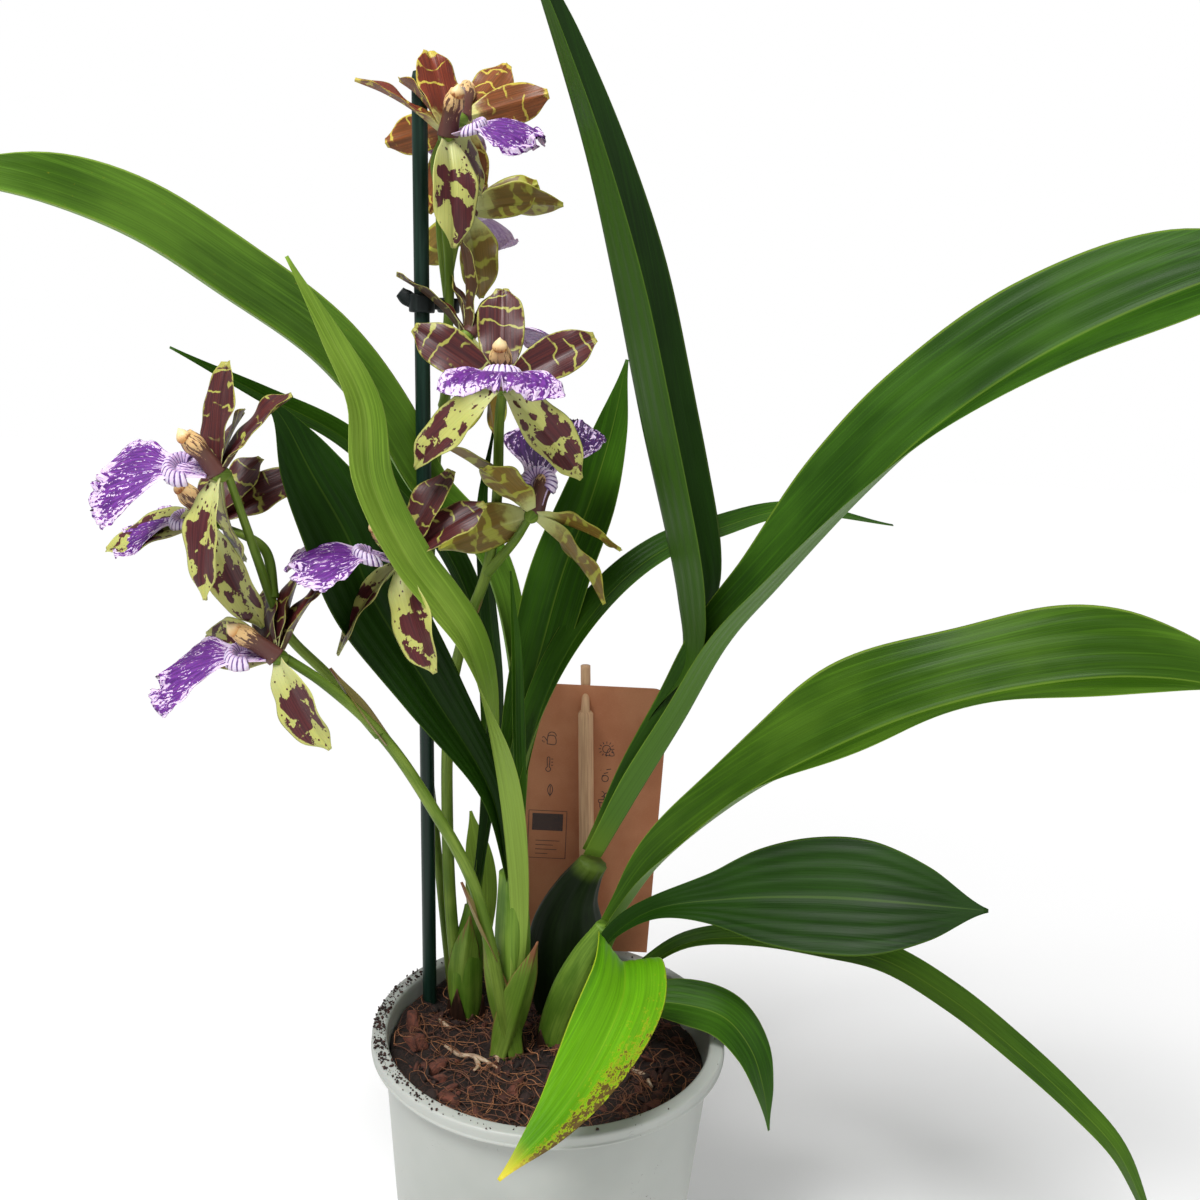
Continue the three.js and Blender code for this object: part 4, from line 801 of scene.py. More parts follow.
SPIKES = {
    "spike_front": {
        "stems": (
            {
                "path": ((-14, -3, 4), (-20, -7, 39), (-28, -12, 72), (-41, -20, 101), (-55, -28, 126),
                    (-71, -39, 146)),
                "end": 2,
            },
            {
                "path": ((-56, -29, 127), (-72, -30, 146), (-84, -30, 158), (-88, -32, 168),
                    (-92, -34, 182)),
                "end": 0,
            },
            {"path": ((-88, -32, 170), (-92, -27, 184)), "end": 1},
        ),
        "bracts": (
            {"path": ((-20, -7, 40), (-26, -11, 56), (-31, -15, 72)), "width": (2.6, 2.8, 0.5)},
            {"path": ((-55, -28, 124), (-62, -33, 136), (-70, -36, 150)), "width": (3, 3.4, 0.5)},
        ),
    },
    "spike_middle": {
        "stems": (
            {
                "path": ((-34, 20, 4), (-39, 22, 46), (-41, 22, 86), (-41, 20, 109), (-39, 16, 133),
                    (-34, 10, 154), (-27, 4, 175), (-24, -2, 199), (-23, -12, 225)),
                "end": 4,
            },
            {"path": ((-35, 11, 152), (-42, -8, 170)), "end": 3},
            {"path": ((-27, 4, 174), (-18, -4, 186)), "end": 5},
        ),
        "bracts": [{"path": ((-35, 12, 152), (-31, 8, 163), (-27, 3, 176)), "width": (2.4, 2.6, 0.5)}],
    },
    "spike_back": {
        "stems": (
            {
                "path": ((-39, 32, 6), (-43, 33, 38), (-47, 34, 71), (-51, 34, 107), (-51, 34, 140),
                    (-50, 34, 177), (-48, 35, 217), (-46, 36, 240), (-46, 37, 268)),
                "end": 7,
            },
            {"path": ((-46, 36, 246), (-45, 30, 270), (-46, 20, 290), (-48, 12, 303)), "end": 6},
            {"path": ((-47, 35, 226), (-42, 24, 240)), "end": 9},
            {"path": ((-46, 37, 262), (-49, 36, 284), (-49, 37, 304)), "end": 8},
        ),
        "bracts": [{"path": ((-48, 35, 213), (-47, 35, 224), (-45, 36, 238)), "width": (2.2, 2.4, 0.5)}],
    },
}

GROWTHS = {
    "growth_front": {
        "path": ((-14, 1, -8), (-14, 1, 3), (-14, 2, 30), (-15, 4, 68)),
        "radius": (3.5, 4.6, 6.2, 4.8),
        "flatness": 1.2,
    },
    "growth_back": {
        "path": ((-32, 20, -6), (-32, 20, 6), (-32, 21, 26), (-31, 25, 44)),
        "radius": (4.4, 5.6, 5.4, 2.8),
        "flatness": 1,
    },
    "pseudobulb": {
        "path": ((4, 27, -8), (3, 27, 6), (4, 26, 30), (6, 25, 48), (10, 23, 59), (13, 21, 65)),
        "radius": (7, 10.5, 14, 13.5, 8.5, 5.4),
        "flatness": 0.72,
    },
    "growth_right": {
        "path": ((2, 9, -8), (2, 9, 2), (7, 8, 20), (14, 6, 38), (19, 5, 48)),
        "radius": (5.5, 7, 7.6, 6.6, 4.4),
        "flatness": 0.8,
    },
}

LEAF_LOOKS = {
    "leaf_right_high": GREEN_LEAF,
    "leaf_right_long": PALE_LEAF,
    "leaf_tall": DARK_LEAF,
    "leaf_left_long": SPOTTED_LEAF,
    "leaf_drooping": PALE_LEAF,
    "leaf_oval": DARK_LEAF,
    "leaf_left_broad": DARK_LEAF,
    "leaf_front": FRONT_LEAF,
    "leaf_lime": LIME_LEAF,
    "leaf_pale_short": LIME_LEAF,
    "leaf_dark_narrow": DARK_LEAF,
}


# ---------------------------------------------------------------- leaves

PLEATS = 4
PLEAT_DEPTH = 0.14
LEAF_THICKNESS = 0.9


def pleated(u, s, width):
    """Lengthwise pleats that fade towards the base, the tip and the margins."""
    depth = PLEAT_DEPTH * np.minimum(width / 12, 1.4) * smoothstep(0.05, 0.3, s)
    depth = depth * (1 - smoothstep(0.8, 1, s))
    return depth * np.cos(2 * math.pi * PLEATS * np.abs(u)) * (1 - np.abs(u) ** 6)


def make_leaves():
    for number, (name, spec) in enumerate({**LEAVES, **SHEATHS}.items()):
        shape = Shape()
        leaf = name in LEAVES
        own = {
            **spec,
            "path": planted(spec["path"]),
            "thickness": LEAF_THICKNESS,
            "steps": 90 if leaf else 30,
            "columns": 16 if leaf else 8,
            "body": (1.3, 1, 0.9, 0.6),
        }
        if leaf:
            own["relief"] = pleated
        add_blade(shape, own, seed=3.7 * number)
        look = LEAF_LOOKS.get(name, GREEN_LEAF) if leaf else BRACT
        slot = "stem" if not leaf else "leaf_lime" if look in (LIME_LEAF, FRONT_LEAF) else "leaf"
        shape.piece(name, [look], slot, name)


def ribbed(ridges):
    """Shallow ribs that lean round a growth and fade at its foot."""
    return lambda t, s: 0.25 * np.cos(2 * math.pi * ridges * t + 3 * s) * smoothstep(0, 0.2, s)


def make_growths():
    for number, (name, spec) in enumerate(GROWTHS.items()):
        shape = Shape()
        bulb = name == "pseudobulb"
        relief = ribbed(11 if bulb else 5)
        own = {**spec, "path": planted(spec["path"]), "steps": 60, "sides": 48, "relief": relief}
        add_tube(shape, own, seed=20 + 1.3 * number)
        shape.piece(name, [BULB if bulb else GROWTH], "bulb" if bulb else "stem", name)


# Where dead sheaths stand: the growth's foot, how far out they are, and how tall.
OLD_SHEATH_FEET = (((-32, 20), 6.4, 19), ((-14, 1), 5.4, 9), ((3, 9), 8.2, 10))


def make_old_sheaths():
    """Dead papery scales round the feet of the growths."""
    shape = Shape()
    for foot, ((x, y), reach, height) in enumerate(OLD_SHEATH_FEET):
        for k in range(6):
            turn = 2 * math.pi * (k + 0.3 * foot) / 6
            out = np.array([math.cos(turn), math.sin(turn), 0])
            start = np.array([x, y, -3.0]) + reach * out
            tall = height * (0.7 + 0.3 * math.sin(2.1 * k + foot))
            path = [start, start + (0, 0, 0.5 * tall) + 0.6 * out, start + (0, 0, tall) - 0.4 * out]
            blade = {
                "path": planted(path),
                "width": (3.6, 4.2, 2.6, 0.3),
                "face": (-out, -out),
                "fold": (35, 25),
                "thickness": 0.5,
                "steps": 18,
                "columns": 8,
            }
            add_blade(shape, blade, seed=60 + 3 * foot + k)
    shape.piece("old_sheaths", [OLD_SHEATH], "stem")


# ---------------------------------------------------------------- flowers

DORSAL = {"length": 32, "width": (2.4, 5, 6.8, 7.2, 6.2, 2), "bow": 1.5}
PETAL = {"length": 31, "width": (2, 4.2, 6, 6.6, 5.6, 1.6), "bow": 2}
LATERAL = {"length": 36, "width": (2.6, 6, 7.8, 7.8, 5.8, 1), "bow": 2.5}
TEPAL_FOLD = (30, 14, 10, 12)
TEPAL_THICKNESS = 0.8
CLAW_START = 3.6
LIP_ARCH = ((0, 0), (11, 1.5), (24, -1), (35, -7))
LIP_WIDTH = (3.5, 4.5, 6, 13, 17, 17.5, 15)
COLUMN_LENGTH = 13
COLUMN_REACH = 3
STEM_RADIUS = 2.1
STEM_TAPER = (1.15, 1, 0.9, 0.72)
THIN_SHARE = 0.75
THIN_STEMS_BEHIND = 25

# Each flower's upper tepals, lower tepals and lip.
FLOWER_LOOKS = [
    *[(BARRED, BLOTCHED, LIP)] * 5,
    (REVERSE, REVERSE, LIP_DARK),
    (RUSSET, BLOTCHED, LIP),
    (REVERSE, REVERSE, LIP),
    (RUSSET, RUSSET, LIP),
    (BARRED, REVERSE, LIP),
]


def offset(start, *moves):
    return tuple(np.asarray(start, float) + sum(length * np.asarray(way) for way, length in moves))


def hub_of(flower):
    return planted([flower["at"]])[0]


def undulation(seed):
    """Soft waves along a tepal's margins."""

    def relief(u, s, width):
        wave = 0.8 * np.sin(9 * s + seed) + 0.45 * np.sin(17 * s + 2.3 * seed + 2 * np.sign(u))
        rise = wave * np.abs(u) ** 2 * smoothstep(0.1, 0.4, s) * (1 - 0.6 * smoothstep(0.85, 1, s))
        channel = -0.35 * np.exp(-((u / 0.16) ** 2)) * smoothstep(0.02, 0.2, s)
        return rise + channel

    return relief


def add_tepal(shape, flower, kind, way, look, seed):
    towards = unit(way["to"])
    facing = unit(way.get("face", flower["face"]))
    length = kind["length"] * way.get("share", 1)
    hub = hub_of(flower)
    stations = (0.04, 0.35, 0.7, 1)
    path = [offset(hub, (towards, t * length), (facing, 4 * kind["bow"] * t * (1 - t))) for t in stations]
    spec = {
        "path": path,
        "face": (facing, facing),
        "width": kind["width"],
        "fold": TEPAL_FOLD,
        "thickness": TEPAL_THICKNESS,
        "relief": undulation(seed),
        "steps": 44,
        "columns": 10,
        "body": (1.6, 1.1, 1, 0.8),
    }
    add_blade(shape, spec, look, seed)


def column_relief(t, s):
    """Wings beside the column's tip, over three faint edges."""
    return 0.5 * smoothstep(0.5, 0.95, s) * np.cos(4 * math.pi * t) - 0.15 * np.cos(6 * math.pi * t)


def add_column(shape, flower, look, cap_look, seed):
    """The column arches forward, with a flared tip below a rounded anther cap."""
    towards, facing = unit(flower["column"]), unit(flower["face"])
    hub = hub_of(flower)
    length = COLUMN_LENGTH * 0.94
    path = [offset(hub, (towards, t * length), (facing, COLUMN_REACH * t * t + 1)) for t in (0, 0.5, 1)]
    spec = {
        "path": path,
        "face": (facing, facing),
        "radius": (2.6, 2.3, 2.2, 2.7, 1.8),
        "flatness": 1.35,
        "steps": 30,
        "sides": 28,
        "relief": column_relief,
    }
    add_tube(shape, spec, look, seed)
    crown = offset(path[2], (facing, 0.7), (towards, -0.6))
    cap = [offset(crown, (towards, d)) for d in (-2.4, 0, 2.6)]
    cap_spec = {"path": cap, "face": (facing, facing), "radius": (0.5, 1.8, 2, 1.3, 0.2), "flatness": 1.1}
    add_tube(shape, {**cap_spec, "steps": 16, "sides": 24}, cap_look, seed)


def add_hub(shape, flower, look, seed):
    facing = unit(flower["face"])
    hub = hub_of(flower)
    path = [offset(hub, (facing, d)) for d in (-3, 0, 3)]
    radius = (1, 2, 2.5, 2.3, 1)
    add_tube(shape, {"path": path, "radius": radius, "steps": 16, "sides": 24}, look, seed)


LIP_ROUNDING = 0.2
LIP_NOTCH = 0.1


def lip_outline(u, s):
    """Rounds off the fan's front edge and notches its middle."""
    front = smoothstep(0.45, 1, s)
    jag = 0.014 * np.sin(47 * u) + 0.012 * np.sin(83 * u + 1) + 0.008 * np.sin(131 * u)
    notch = LIP_NOTCH * np.exp(-((u / 0.13) ** 2))
    return s * (1 - front * (LIP_ROUNDING * np.abs(u) ** 2.4 + notch + jag))


def frill(seed):
    """Ruffles that grow towards the fan's margins, and faint lengthwise veins over the fan's middle."""

    def relief(u, s, width):
        side = smoothstep(0.55, 1, np.abs(u)) * smoothstep(0.3, 0.55, s)
        front = smoothstep(0.72, 1, s)
        rim = np.maximum(side, front)
        turn = np.arctan2(u * 1.6, 1.15 - s)
        coarse = 1.1 * np.sin(5.5 * turn + seed) + 0.7 * np.sin(11 * turn + 1.7 * seed)
        fine = 0.35 * np.sin(29 * turn + seed) + 0.25 * np.sin(47 * turn)
        veins = 0.12 * np.cos(34 * u) * smoothstep(0.3, 0.6, s) * (1 - front)
        return rim * (coarse + fine) + veins

    return relief


def add_lip(shape, flower, look, seed):
    outward, upward = unit(flower["lip"]), unit(flower["lip_up"])
    share = flower.get("lip_share", 1)
    hub = hub_of(flower)
    path = [offset(hub, (outward, CLAW_START + x * share), (upward, z * share)) for x, z in LIP_ARCH]
    spec = {
        "path": path,
        "face": (upward, upward),
        "width": [w * share for w in LIP_WIDTH],
        "fold": (20, 5, -8, -12),
        "thickness": 0.7,
        "reach": lip_outline,
        "relief": frill(seed),
        "steps": 72,
        "columns": 36,
        "body": (1.6, 1, 0.8, 0.6),
    }
    add_blade(shape, spec, look, seed)
    return path, outward, upward, share


CALLUS_RIDGES = 13


def add_callus(shape, path, outward, upward, share, look, seed):
    """A fan of ridges raised on the lip's claw, open towards the column."""
    centre = offset(path[0], (np.subtract(path[1], path[0]), 0.62), (upward, 0.4))
    side = np.cross(outward, upward)
    turns = np.linspace(-1, 1, 105)
    rows = np.linspace(0, 1, 22)
    T, V = np.meshgrid(turns, rows, indexing="xy")
    angle = T * math.radians(118)
    ridge = 0.5 + 0.5 * np.cos(math.pi * CALLUS_RIDGES * T)
    crest = np.sin(math.pi * V) ** 0.7
    reach = (1.5 + 4.1 * V) * share * (1 + 0.04 * ridge)
    height = (2.7 * crest + 0.3 * ridge * crest) * share * (1 - 0.35 * np.abs(T) ** 3)
    x, y = reach * np.cos(angle), 1.12 * reach * np.sin(angle)
    points = np.array(centre) + x[..., None] * outward + y[..., None] * side + height[..., None] * upward
    floor = points - (height[..., None] + 1.0) * upward
    n, m = T.shape
    top = np.arange(n * m).reshape(n, m)
    low = top + n * m
    faces = []
    for k in range(n - 1):
        for i in range(m - 1):
            faces.append([top[k, i], top[k + 1, i], top[k + 1, i + 1], top[k, i + 1]])
            faces.append([low[k, i], low[k, i + 1], low[k + 1, i + 1], low[k + 1, i]])
    rim = [*top[0, :], *top[1:, -1], *top[-1, -2::-1], *top[-2:0:-1, 0]]
    for a, b in zip(rim, rim[1:] + rim[:1]):
        faces.append([a, b, b + n * m, a + n * m])
    grain = np.stack([angle * reach, reach, np.full(T.shape, seed)], -1)
    spot = np.stack([T, V, ridge], -1)
    grain, spot = np.concatenate([grain, grain]), np.concatenate([spot, spot])
    shape.add(np.concatenate([points, floor]), faces, grain, spot, look)


def make_flowers():
    for number, (flower, looks) in enumerate(zip(FLOWERS, FLOWER_LOOKS), 1):
        name = f"flower_{number:02d}"
        seed = 5.3 * number
        upper, lower, lip = looks
        shape = Shape()
        ways = [(DORSAL, flower["dorsal"], 0), *((PETAL, way, 0) for way in flower["petals"])]
        ways += [(LATERAL, way, 1) for way in flower["laterals"]]
        for index, (kind, way, look) in enumerate(ways):
            add_tepal(shape, flower, kind, way, look, seed + 1.7 * index)
        add_hub(shape, flower, 4, seed)
        add_column(shape, flower, 2, 3, seed)
        shape.piece(f"{name}_tepals", [upper, lower, COLUMN, CAP, STEM], "tepal", f"{name}_tepals")
        shape = Shape()
        claw = add_lip(shape, flower, 0, seed)
        add_callus(shape, *claw, 1, seed)
        shape.piece(f"{name}_lip", [lip, CALLUS], "lip", f"{name}_lip")


def make_spikes():
    for number, (name, spec) in enumerate(SPIKES.items()):
        shape = Shape()
        for index, stem in enumerate(spec["stems"]):
            flower = FLOWERS[stem["end"]]
            last = offset(hub_of(flower), (unit(flower["face"]), -2.2))
            thin = THIN_SHARE if index > 0 or stem["path"][0][1] > THIN_STEMS_BEHIND else 1
            radius = [share * thin * STEM_RADIUS for share in STEM_TAPER]
            path = [*planted(stem["path"]), last]
            tube = {"path": path, "radius": radius, "steps": 70, "sides": 20}
            add_tube(shape, tube, seed=31 + number + 0.3 * index)
        for index, bract in enumerate(spec["bracts"]):
            blade = {
                "path": planted(bract["path"]),
                "width": bract["width"],
                "face": ((1, -0.3, 0.4), (1, -0.3, 0.4)),
                "fold": (50, 50),
                "thickness": 0.8,
                "steps": 24,
                "columns": 8,
            }
            add_blade(shape, blade, 1, 40 + number + 0.3 * index)
        shape.piece(name, [STEM, HUSK], "stem", name)


# ---------------------------------------------------------------- pot and medium


def pot_look():
    """Moulded grey plastic with a faint mottle, and specks of soil."""
    look = Look("pot_grey", roughness=0.42, Subsurface_Weight=0.03, Subsurface_Scale=0.002)
    place = look.add("TexCoord").outputs["Object"]
    cloud = look.noise(place, 18.0, detail=4.0)
    fine = look.noise(place, 900.0, detail=2.0)
    colour = look.mix(look.step(cloud, 0.3, 0.7), rgb(150, 154, 148), rgb(168, 171, 165))
    speck = look.cells(look.add("VectorMath", {0: place, 1: cloud}, operation="ADD").outputs[0], 210.0)
    kept = look.step(look.noise(place, 60.0, detail=2.0), 0.56, 0.64)
    amount = look.math("MULTIPLY", look.step(speck, 0.16, 0.08), kept)
    colour = look.mix(look.math("MULTIPLY", amount, 0.8), colour, rgb(70, 56, 46))
    rough = look.step(cloud, 0.3, 0.7, 0.36, 0.5)
    return look.finish(colour, fine, strength=0.08, distance=0.0002, roughness=rough)


def bark_look():
    """Bark chips: dark, reddish, layered, each its own shade."""
    look = Look("bark_chips", roughness=0.85)
    grain, spot = look.attribute("grain"), look.attribute("spot")
    shade = look.split(spot)[2]
    layers = look.noise(look.scaled(grain, (0.5, 0.5, 2.6)), 1.0, detail=5.0, rough=0.65)
    colour = look.mix(shade, rgb(26, 15, 11), rgb(104, 54, 37))
    colour = look.mix(look.step(layers, 0.35, 0.7, 0.0, 0.75), colour, rgb(30, 18, 14))
    return look.finish(colour, layers, strength=0.7, distance=0.0008)


def soil_look():
    look = Look("soil_fine", roughness=0.95)
    grain = look.attribute("grain")
    crumbs = look.noise(grain, 1.4, detail=6.0, rough=0.7)
    cells = look.cells(grain, 0.8)
    colour = look.mix(look.step(crumbs, 0.35, 0.7), rgb(14, 8, 6), rgb(52, 30, 21))
    height = look.math("ADD", crumbs, look.math("MULTIPLY", cells, 0.5))
    return look.finish(colour, height, strength=0.9, distance=0.0012)


def fibre_look():
    look = Look("fibres_dry", roughness=0.7)
    shade = look.split(look.attribute("spot"))[2]
    tint = look.noise(look.attribute("grain"), 0.3, detail=2.0)
    colour = look.mix(shade, rgb(82, 46, 30), rgb(168, 112, 72))
    return look.finish(look.mix(look.step(tint, 0.4, 0.7, 0.0, 0.5), colour, rgb(80, 46, 30)))


def root_look():
    look = Look("root_pale", roughness=0.6, Subsurface_Weight=0.1, Subsurface_Scale=0.001)
    mottle = look.noise(look.scaled(look.attribute("grain"), (0.8, 0.25, 1.0)), 1.0, detail=3.0)
    colour = look.mix(look.step(mottle, 0.35, 0.65), rgb(182, 162, 136), rgb(116, 84, 60))
    return look.finish(colour, mottle, strength=0.2, distance=0.0002)


POT_WALL = 1.2
RIM_WIDTH = 5
RIM_LIP = 4.5
POT_FOOT_RADIUS = RIM_RADIUS - 13.5
WALL_TOP_RADIUS = RIM_RADIUS - RIM_WIDTH - 0.4
POT_FLOOR = 2
HEAP_TOWARDS = math.radians(155)


def inner_radius(z):
    foot = POT_FOOT_RADIUS - POT_WALL
    return foot + (WALL_TOP_RADIUS - foot) * z / RIM_TOP


def rounded(corner, start, end, steps=5):
    """Points that round a corner off, from start to end."""
    corner, start, end = (np.array(p, float) for p in (corner, start, end))
    shares = np.linspace(0, 1, steps)[:, None]
    curve = (1 - shares) ** 2 * start + 2 * shares * (1 - shares) * corner + shares**2 * end
    return [tuple(p) for p in curve]


def make_pot():
    rim, top = RIM_RADIUS, RIM_TOP
    under, lip = top - 1.4, top - RIM_LIP
    outer_top, floor_edge = inner_radius(under) + POT_WALL, inner_radius(POT_FLOOR)
    profile = [
        (0.01, 0.4),
        (POT_FOOT_RADIUS - 8, 0.4),
        *rounded((POT_FOOT_RADIUS - 7, 0.4), (POT_FOOT_RADIUS - 7.4, 0.4), (POT_FOOT_RADIUS - 6.8, 0)),
        *rounded((POT_FOOT_RADIUS, 0), (POT_FOOT_RADIUS - 1.8, 0), (inner_radius(1.8) + POT_WALL, 1.8)),
        *[(inner_radius(z) + POT_WALL, z) for z in np.linspace(8, under - 3, 12)],
        *rounded((outer_top, under), (outer_top - 0.2, under - 1.2), (outer_top + 1, under)),
        *rounded((rim - 1.3, under), (rim - 2, under), (rim - 1.3, under - 0.8)),
        *rounded((rim - 1.2, lip), (rim - 1.3, lip + 0.3), (rim - 0.9, lip), 3),
        *rounded((rim, lip), (rim - 0.4, lip), (rim - 0.05, lip + 0.5), 4),
        *rounded((rim - 0.5, lip + 1), (rim - 0.05, lip + 0.7), (rim - 0.35, lip + 1.4), 4),
        *rounded((rim, top), (rim - 0.3, top - 1.5), (rim - 1.5, top - 0.05), 7),
        *[(r, top - 0.05 * math.cos(math.pi * k)) for k, r in enumerate(np.linspace(rim - 2, rim - 4, 4))],
        *rounded((rim - RIM_WIDTH, top), (rim - RIM_WIDTH + 0.8, top), (inner_radius(top - 1), top - 1), 6),
        *[(inner_radius(z), z) for z in np.linspace(top - 3, POT_FLOOR + 4, 14)],
        *rounded((floor_edge, POT_FLOOR), (inner_radius(5), 5), (inner_radius(0) - 4, POT_FLOOR)),
        (0.01, POT_FLOOR),
    ]
    shape = Shape()
    add_turned(shape, profile, 180)
    shape.piece("pot_shell", [pot_look()], "pot_plastic", "pot")


def bumps(x, y, scale, seed):
    return noise.noise(Vector((x * scale, y * scale, seed)))


def ground(x, y):
    """Height of the medium: heaped towards the wall by the stake, hollow opposite, uneven with bark."""
    share = math.hypot(x, y) / inner_radius(MEDIUM_TOP)
    slope = math.cos(math.atan2(y, x) - HEAP_TOWARDS)
    heap = share * share * slope * (6.5 if slope > 0 else 2)
    uneven = 1.6 * bumps(x, y, 0.09, 1) + 0.9 * bumps(x, y, 0.22, 5) + 0.5 * bumps(x, y, 0.6, 9)
    return MEDIUM_TOP - 0.6 + heap + uneven


def add_medium(shape):
    """The bed: its uneven top in rings, then the sides and the underside."""
    rings, sides = 44, 150
    points, grain, spot = [], [], []
    for k in range(rings + 1):
        share = (k + 0.02) / (rings + 0.02)
        for i in range(sides):
            turn = 2 * math.pi * i / sides
            radius = (inner_radius(MEDIUM_TOP) - 0.35) * share
            x, y = radius * math.cos(turn), radius * math.sin(turn)
            z = ground(x, y)
            points.append((x, y, z))
            grain.append((x, y, z))
            spot.append((share, turn, 0.4))
    for z in (MEDIUM_TOP - 25, POT_FLOOR + 0.5):
        for i in range(sides):
            turn = 2 * math.pi * i / sides
            radius = inner_radius(z) - 0.4
            points.append((radius * math.cos(turn), radius * math.sin(turn), z))
            grain.append(points[-1])
            spot.append((1, turn, 0.4))
    shape.add(points, skin_faces(rings + 3, sides), grain, spot)


def ball_grid(rows, sides):
    """Directions over a sphere and the faces between them."""
    rise = np.linspace(0.04, math.pi - 0.04, rows)[:, None]
    turn = 2 * math.pi * np.arange(sides) / sides
    height = np.broadcast_to(np.cos(rise), (rows, sides))
    directions = np.stack([np.sin(rise) * np.cos(turn), np.sin(rise) * np.sin(turn), height], -1)
    return directions.reshape(-1, 3), skin_faces(rows, sides)


def add_chunk(shape, centre, size, shade, random, rows=9, sides=12):
    """An angular lump: a ball pressed flat by planes, then turned and stretched."""
    points, faces = ball_grid(rows, sides)
    for _ in range(9):
        normal = unit(random.normal(size=3))
        depth = random.uniform(0.35, 0.8)
        over = np.maximum(points @ normal - depth, 0)
        points = points - over[:, None] * normal
    turn = np.linalg.qr(random.normal(size=(3, 3)))[0]
    if np.linalg.det(turn) < 0:
        turn[:, 0] *= -1
    stretched = points * np.array(size)
    placed = stretched @ turn.T + np.array(centre)
    flat = np.column_stack([np.zeros(len(points)), np.zeros(len(points)), np.full(len(points), shade)])
    shape.add(placed, [f[::-1] for f in faces], stretched + random.uniform(0, 50, size=3), flat)


def scatter(random, edge):
    """A random place on the medium."""
    turn = random.uniform(0, 2 * math.pi)
    radius = edge * math.sqrt(random.uniform(0, 1))
    return radius * math.cos(turn), radius * math.sin(turn)


CHIPS = 620
FIBRES = 460
CRUMBS = 520
# The largest bark pieces: where they lie, and their size.
BIG_CHIPS = ((-47, -4, 8.5), (-38, -14, 6), (-50, 8, 6), (30, -38, 6), (36, -26, 6.5), (-20, -42, 6))


def make_medium():
    shape = Shape()
    add_medium(shape)
    edge = inner_radius(MEDIUM_TOP)
    shape.piece("medium_bed", [soil_look()], "bark", "growing_medium")
    random = np.random.default_rng(11)
    shape = Shape()
    for _ in range(CHIPS):
        x, y = scatter(random, edge - 6)
        big = 1.1 + 4.6 * random.uniform(0, 1) ** 3
        size = (big, big * random.uniform(0.5, 0.9), big * random.uniform(0.3, 0.5))
        z = ground(x, y) - 0.2 * size[2]
        add_chunk(shape, (x, y, z), size, random.uniform(0, 1) ** 1.6, random)
    for x, y, big in BIG_CHIPS:
        add_chunk(shape, (x, y, ground(x, y)), (big, big * 0.75, big * 0.5), 0.95, random, 14, 20)
    shape.piece("bark_pieces", [bark_look()], "bark")
    make_fibres(random, edge)
    make_roots()
    make_crumbs(random)


def make_fibres(random, edge):
    """Fibres that wander over the bed, each its own shade."""
    shape = Shape()
    for _ in range(FIBRES):
        x, y = scatter(random, edge - 5)
        heading = random.uniform(0, 2 * math.pi)
        bend = random.normal(0, 0.35)
        path = []
        stride = random.uniform(1.2, 4.2)
        lift = random.uniform(0.2, 1.6)
        for k in range(8):
            inside = min(1, (edge - 1.5) / max(math.hypot(x, y), 1e-6))
            x, y = x * inside, y * inside
            hump = lift + 1.6 * abs(math.sin(1.1 * k + bend)) * random.uniform(0.4, 1)
            path.append((x, y, ground(x, y) + hump))
            heading += bend + random.normal(0, 0.45)
            x += stride * math.cos(heading) + random.normal(0, 0.2)
            y += stride * math.sin(heading) + random.normal(0, 0.2)
        thick = 0.06 + 0.13 * random.uniform(0, 1) ** 2
        radius = (thick, thick, thick * 0.5)
        fibre = {"path": path, "face": (UP, UP), "radius": radius, "steps": 20, "sides": 5}
        before = len(shape.spot)
        add_tube(shape, fibre, seed=random.uniform(0, 50))
        shape.spot[before][:, 2] = random.uniform(0, 1) ** 1.8
    shape.piece("coir_fibres", [fibre_look()], "bark")


def make_roots():
    """Short bare roots that lie on the surface by the front growth."""
    shape = Shape()
    routes = (
        ((-37, -2), (-31, -5), (-26, -5), (-21, -8), (-16, -13)),
        ((-20, -3), (-18, -4.5), (-17.5, -7)),
        ((-26, -5), (-24, -10), (-25, -15)),
        ((-41, 12), (-38, 9), (-36, 8)),
        ((30, -6), (34, -9), (37, -15)),
    )
    for number, route in enumerate(routes):
        path = [(x, y, ground(x, y) + 0.9) for x, y in route]
        radius = (0.5, 0.9, 0.8, 0.4)
        root = {"path": path, "face": (UP, UP), "radius": radius, "steps": 24, "sides": 14}
        add_tube(shape, root, seed=number)
    shape.piece("surface_roots", [root_look()], "bark")


def make_crumbs(random):
    """Crumbs of medium on the rim, thickest on the stake's side."""
    shape = Shape()
    for _ in range(CRUMBS):
        turn = math.radians(random.normal(186, 30) if random.uniform() < 0.93 else random.uniform(0, 360))
        clump = 0.5 + 0.5 * math.sin(9 * turn) * math.sin(23 * turn)
        radius = RIM_RADIUS - random.uniform(0.5, RIM_WIDTH)
        size = 0.2 + (0.3 + 0.75 * clump) * random.uniform(0, 1) ** 2
        place = (radius * math.cos(turn), radius * math.sin(turn), RIM_TOP + 0.4 * size)
        add_chunk(shape, place, (size, size * 0.8, size * 0.6), random.uniform(0, 0.4), random, 5, 6)
    shape.piece("rim_crumbs", [bark_look()], "bark")


# ---------------------------------------------------------------- stake, clip, stick and card


def plastic_look(name, colour, lighter):
    look = Look(name, roughness=0.4, IOR=1.4, Specular_IOR_Level=0.35)
    grain = look.attribute("grain")
    streaks = look.noise(look.scaled(grain, (0.9, 0.04, 1.0)), 1.0, detail=3.0)
    shade = look.mix(look.step(streaks, 0.35, 0.7), rgb(*colour), rgb(*lighter))
    rough = look.step(streaks, 0.3, 0.7, 0.32, 0.48)
    return look.finish(shade, streaks, strength=0.12, distance=0.0002, roughness=rough)


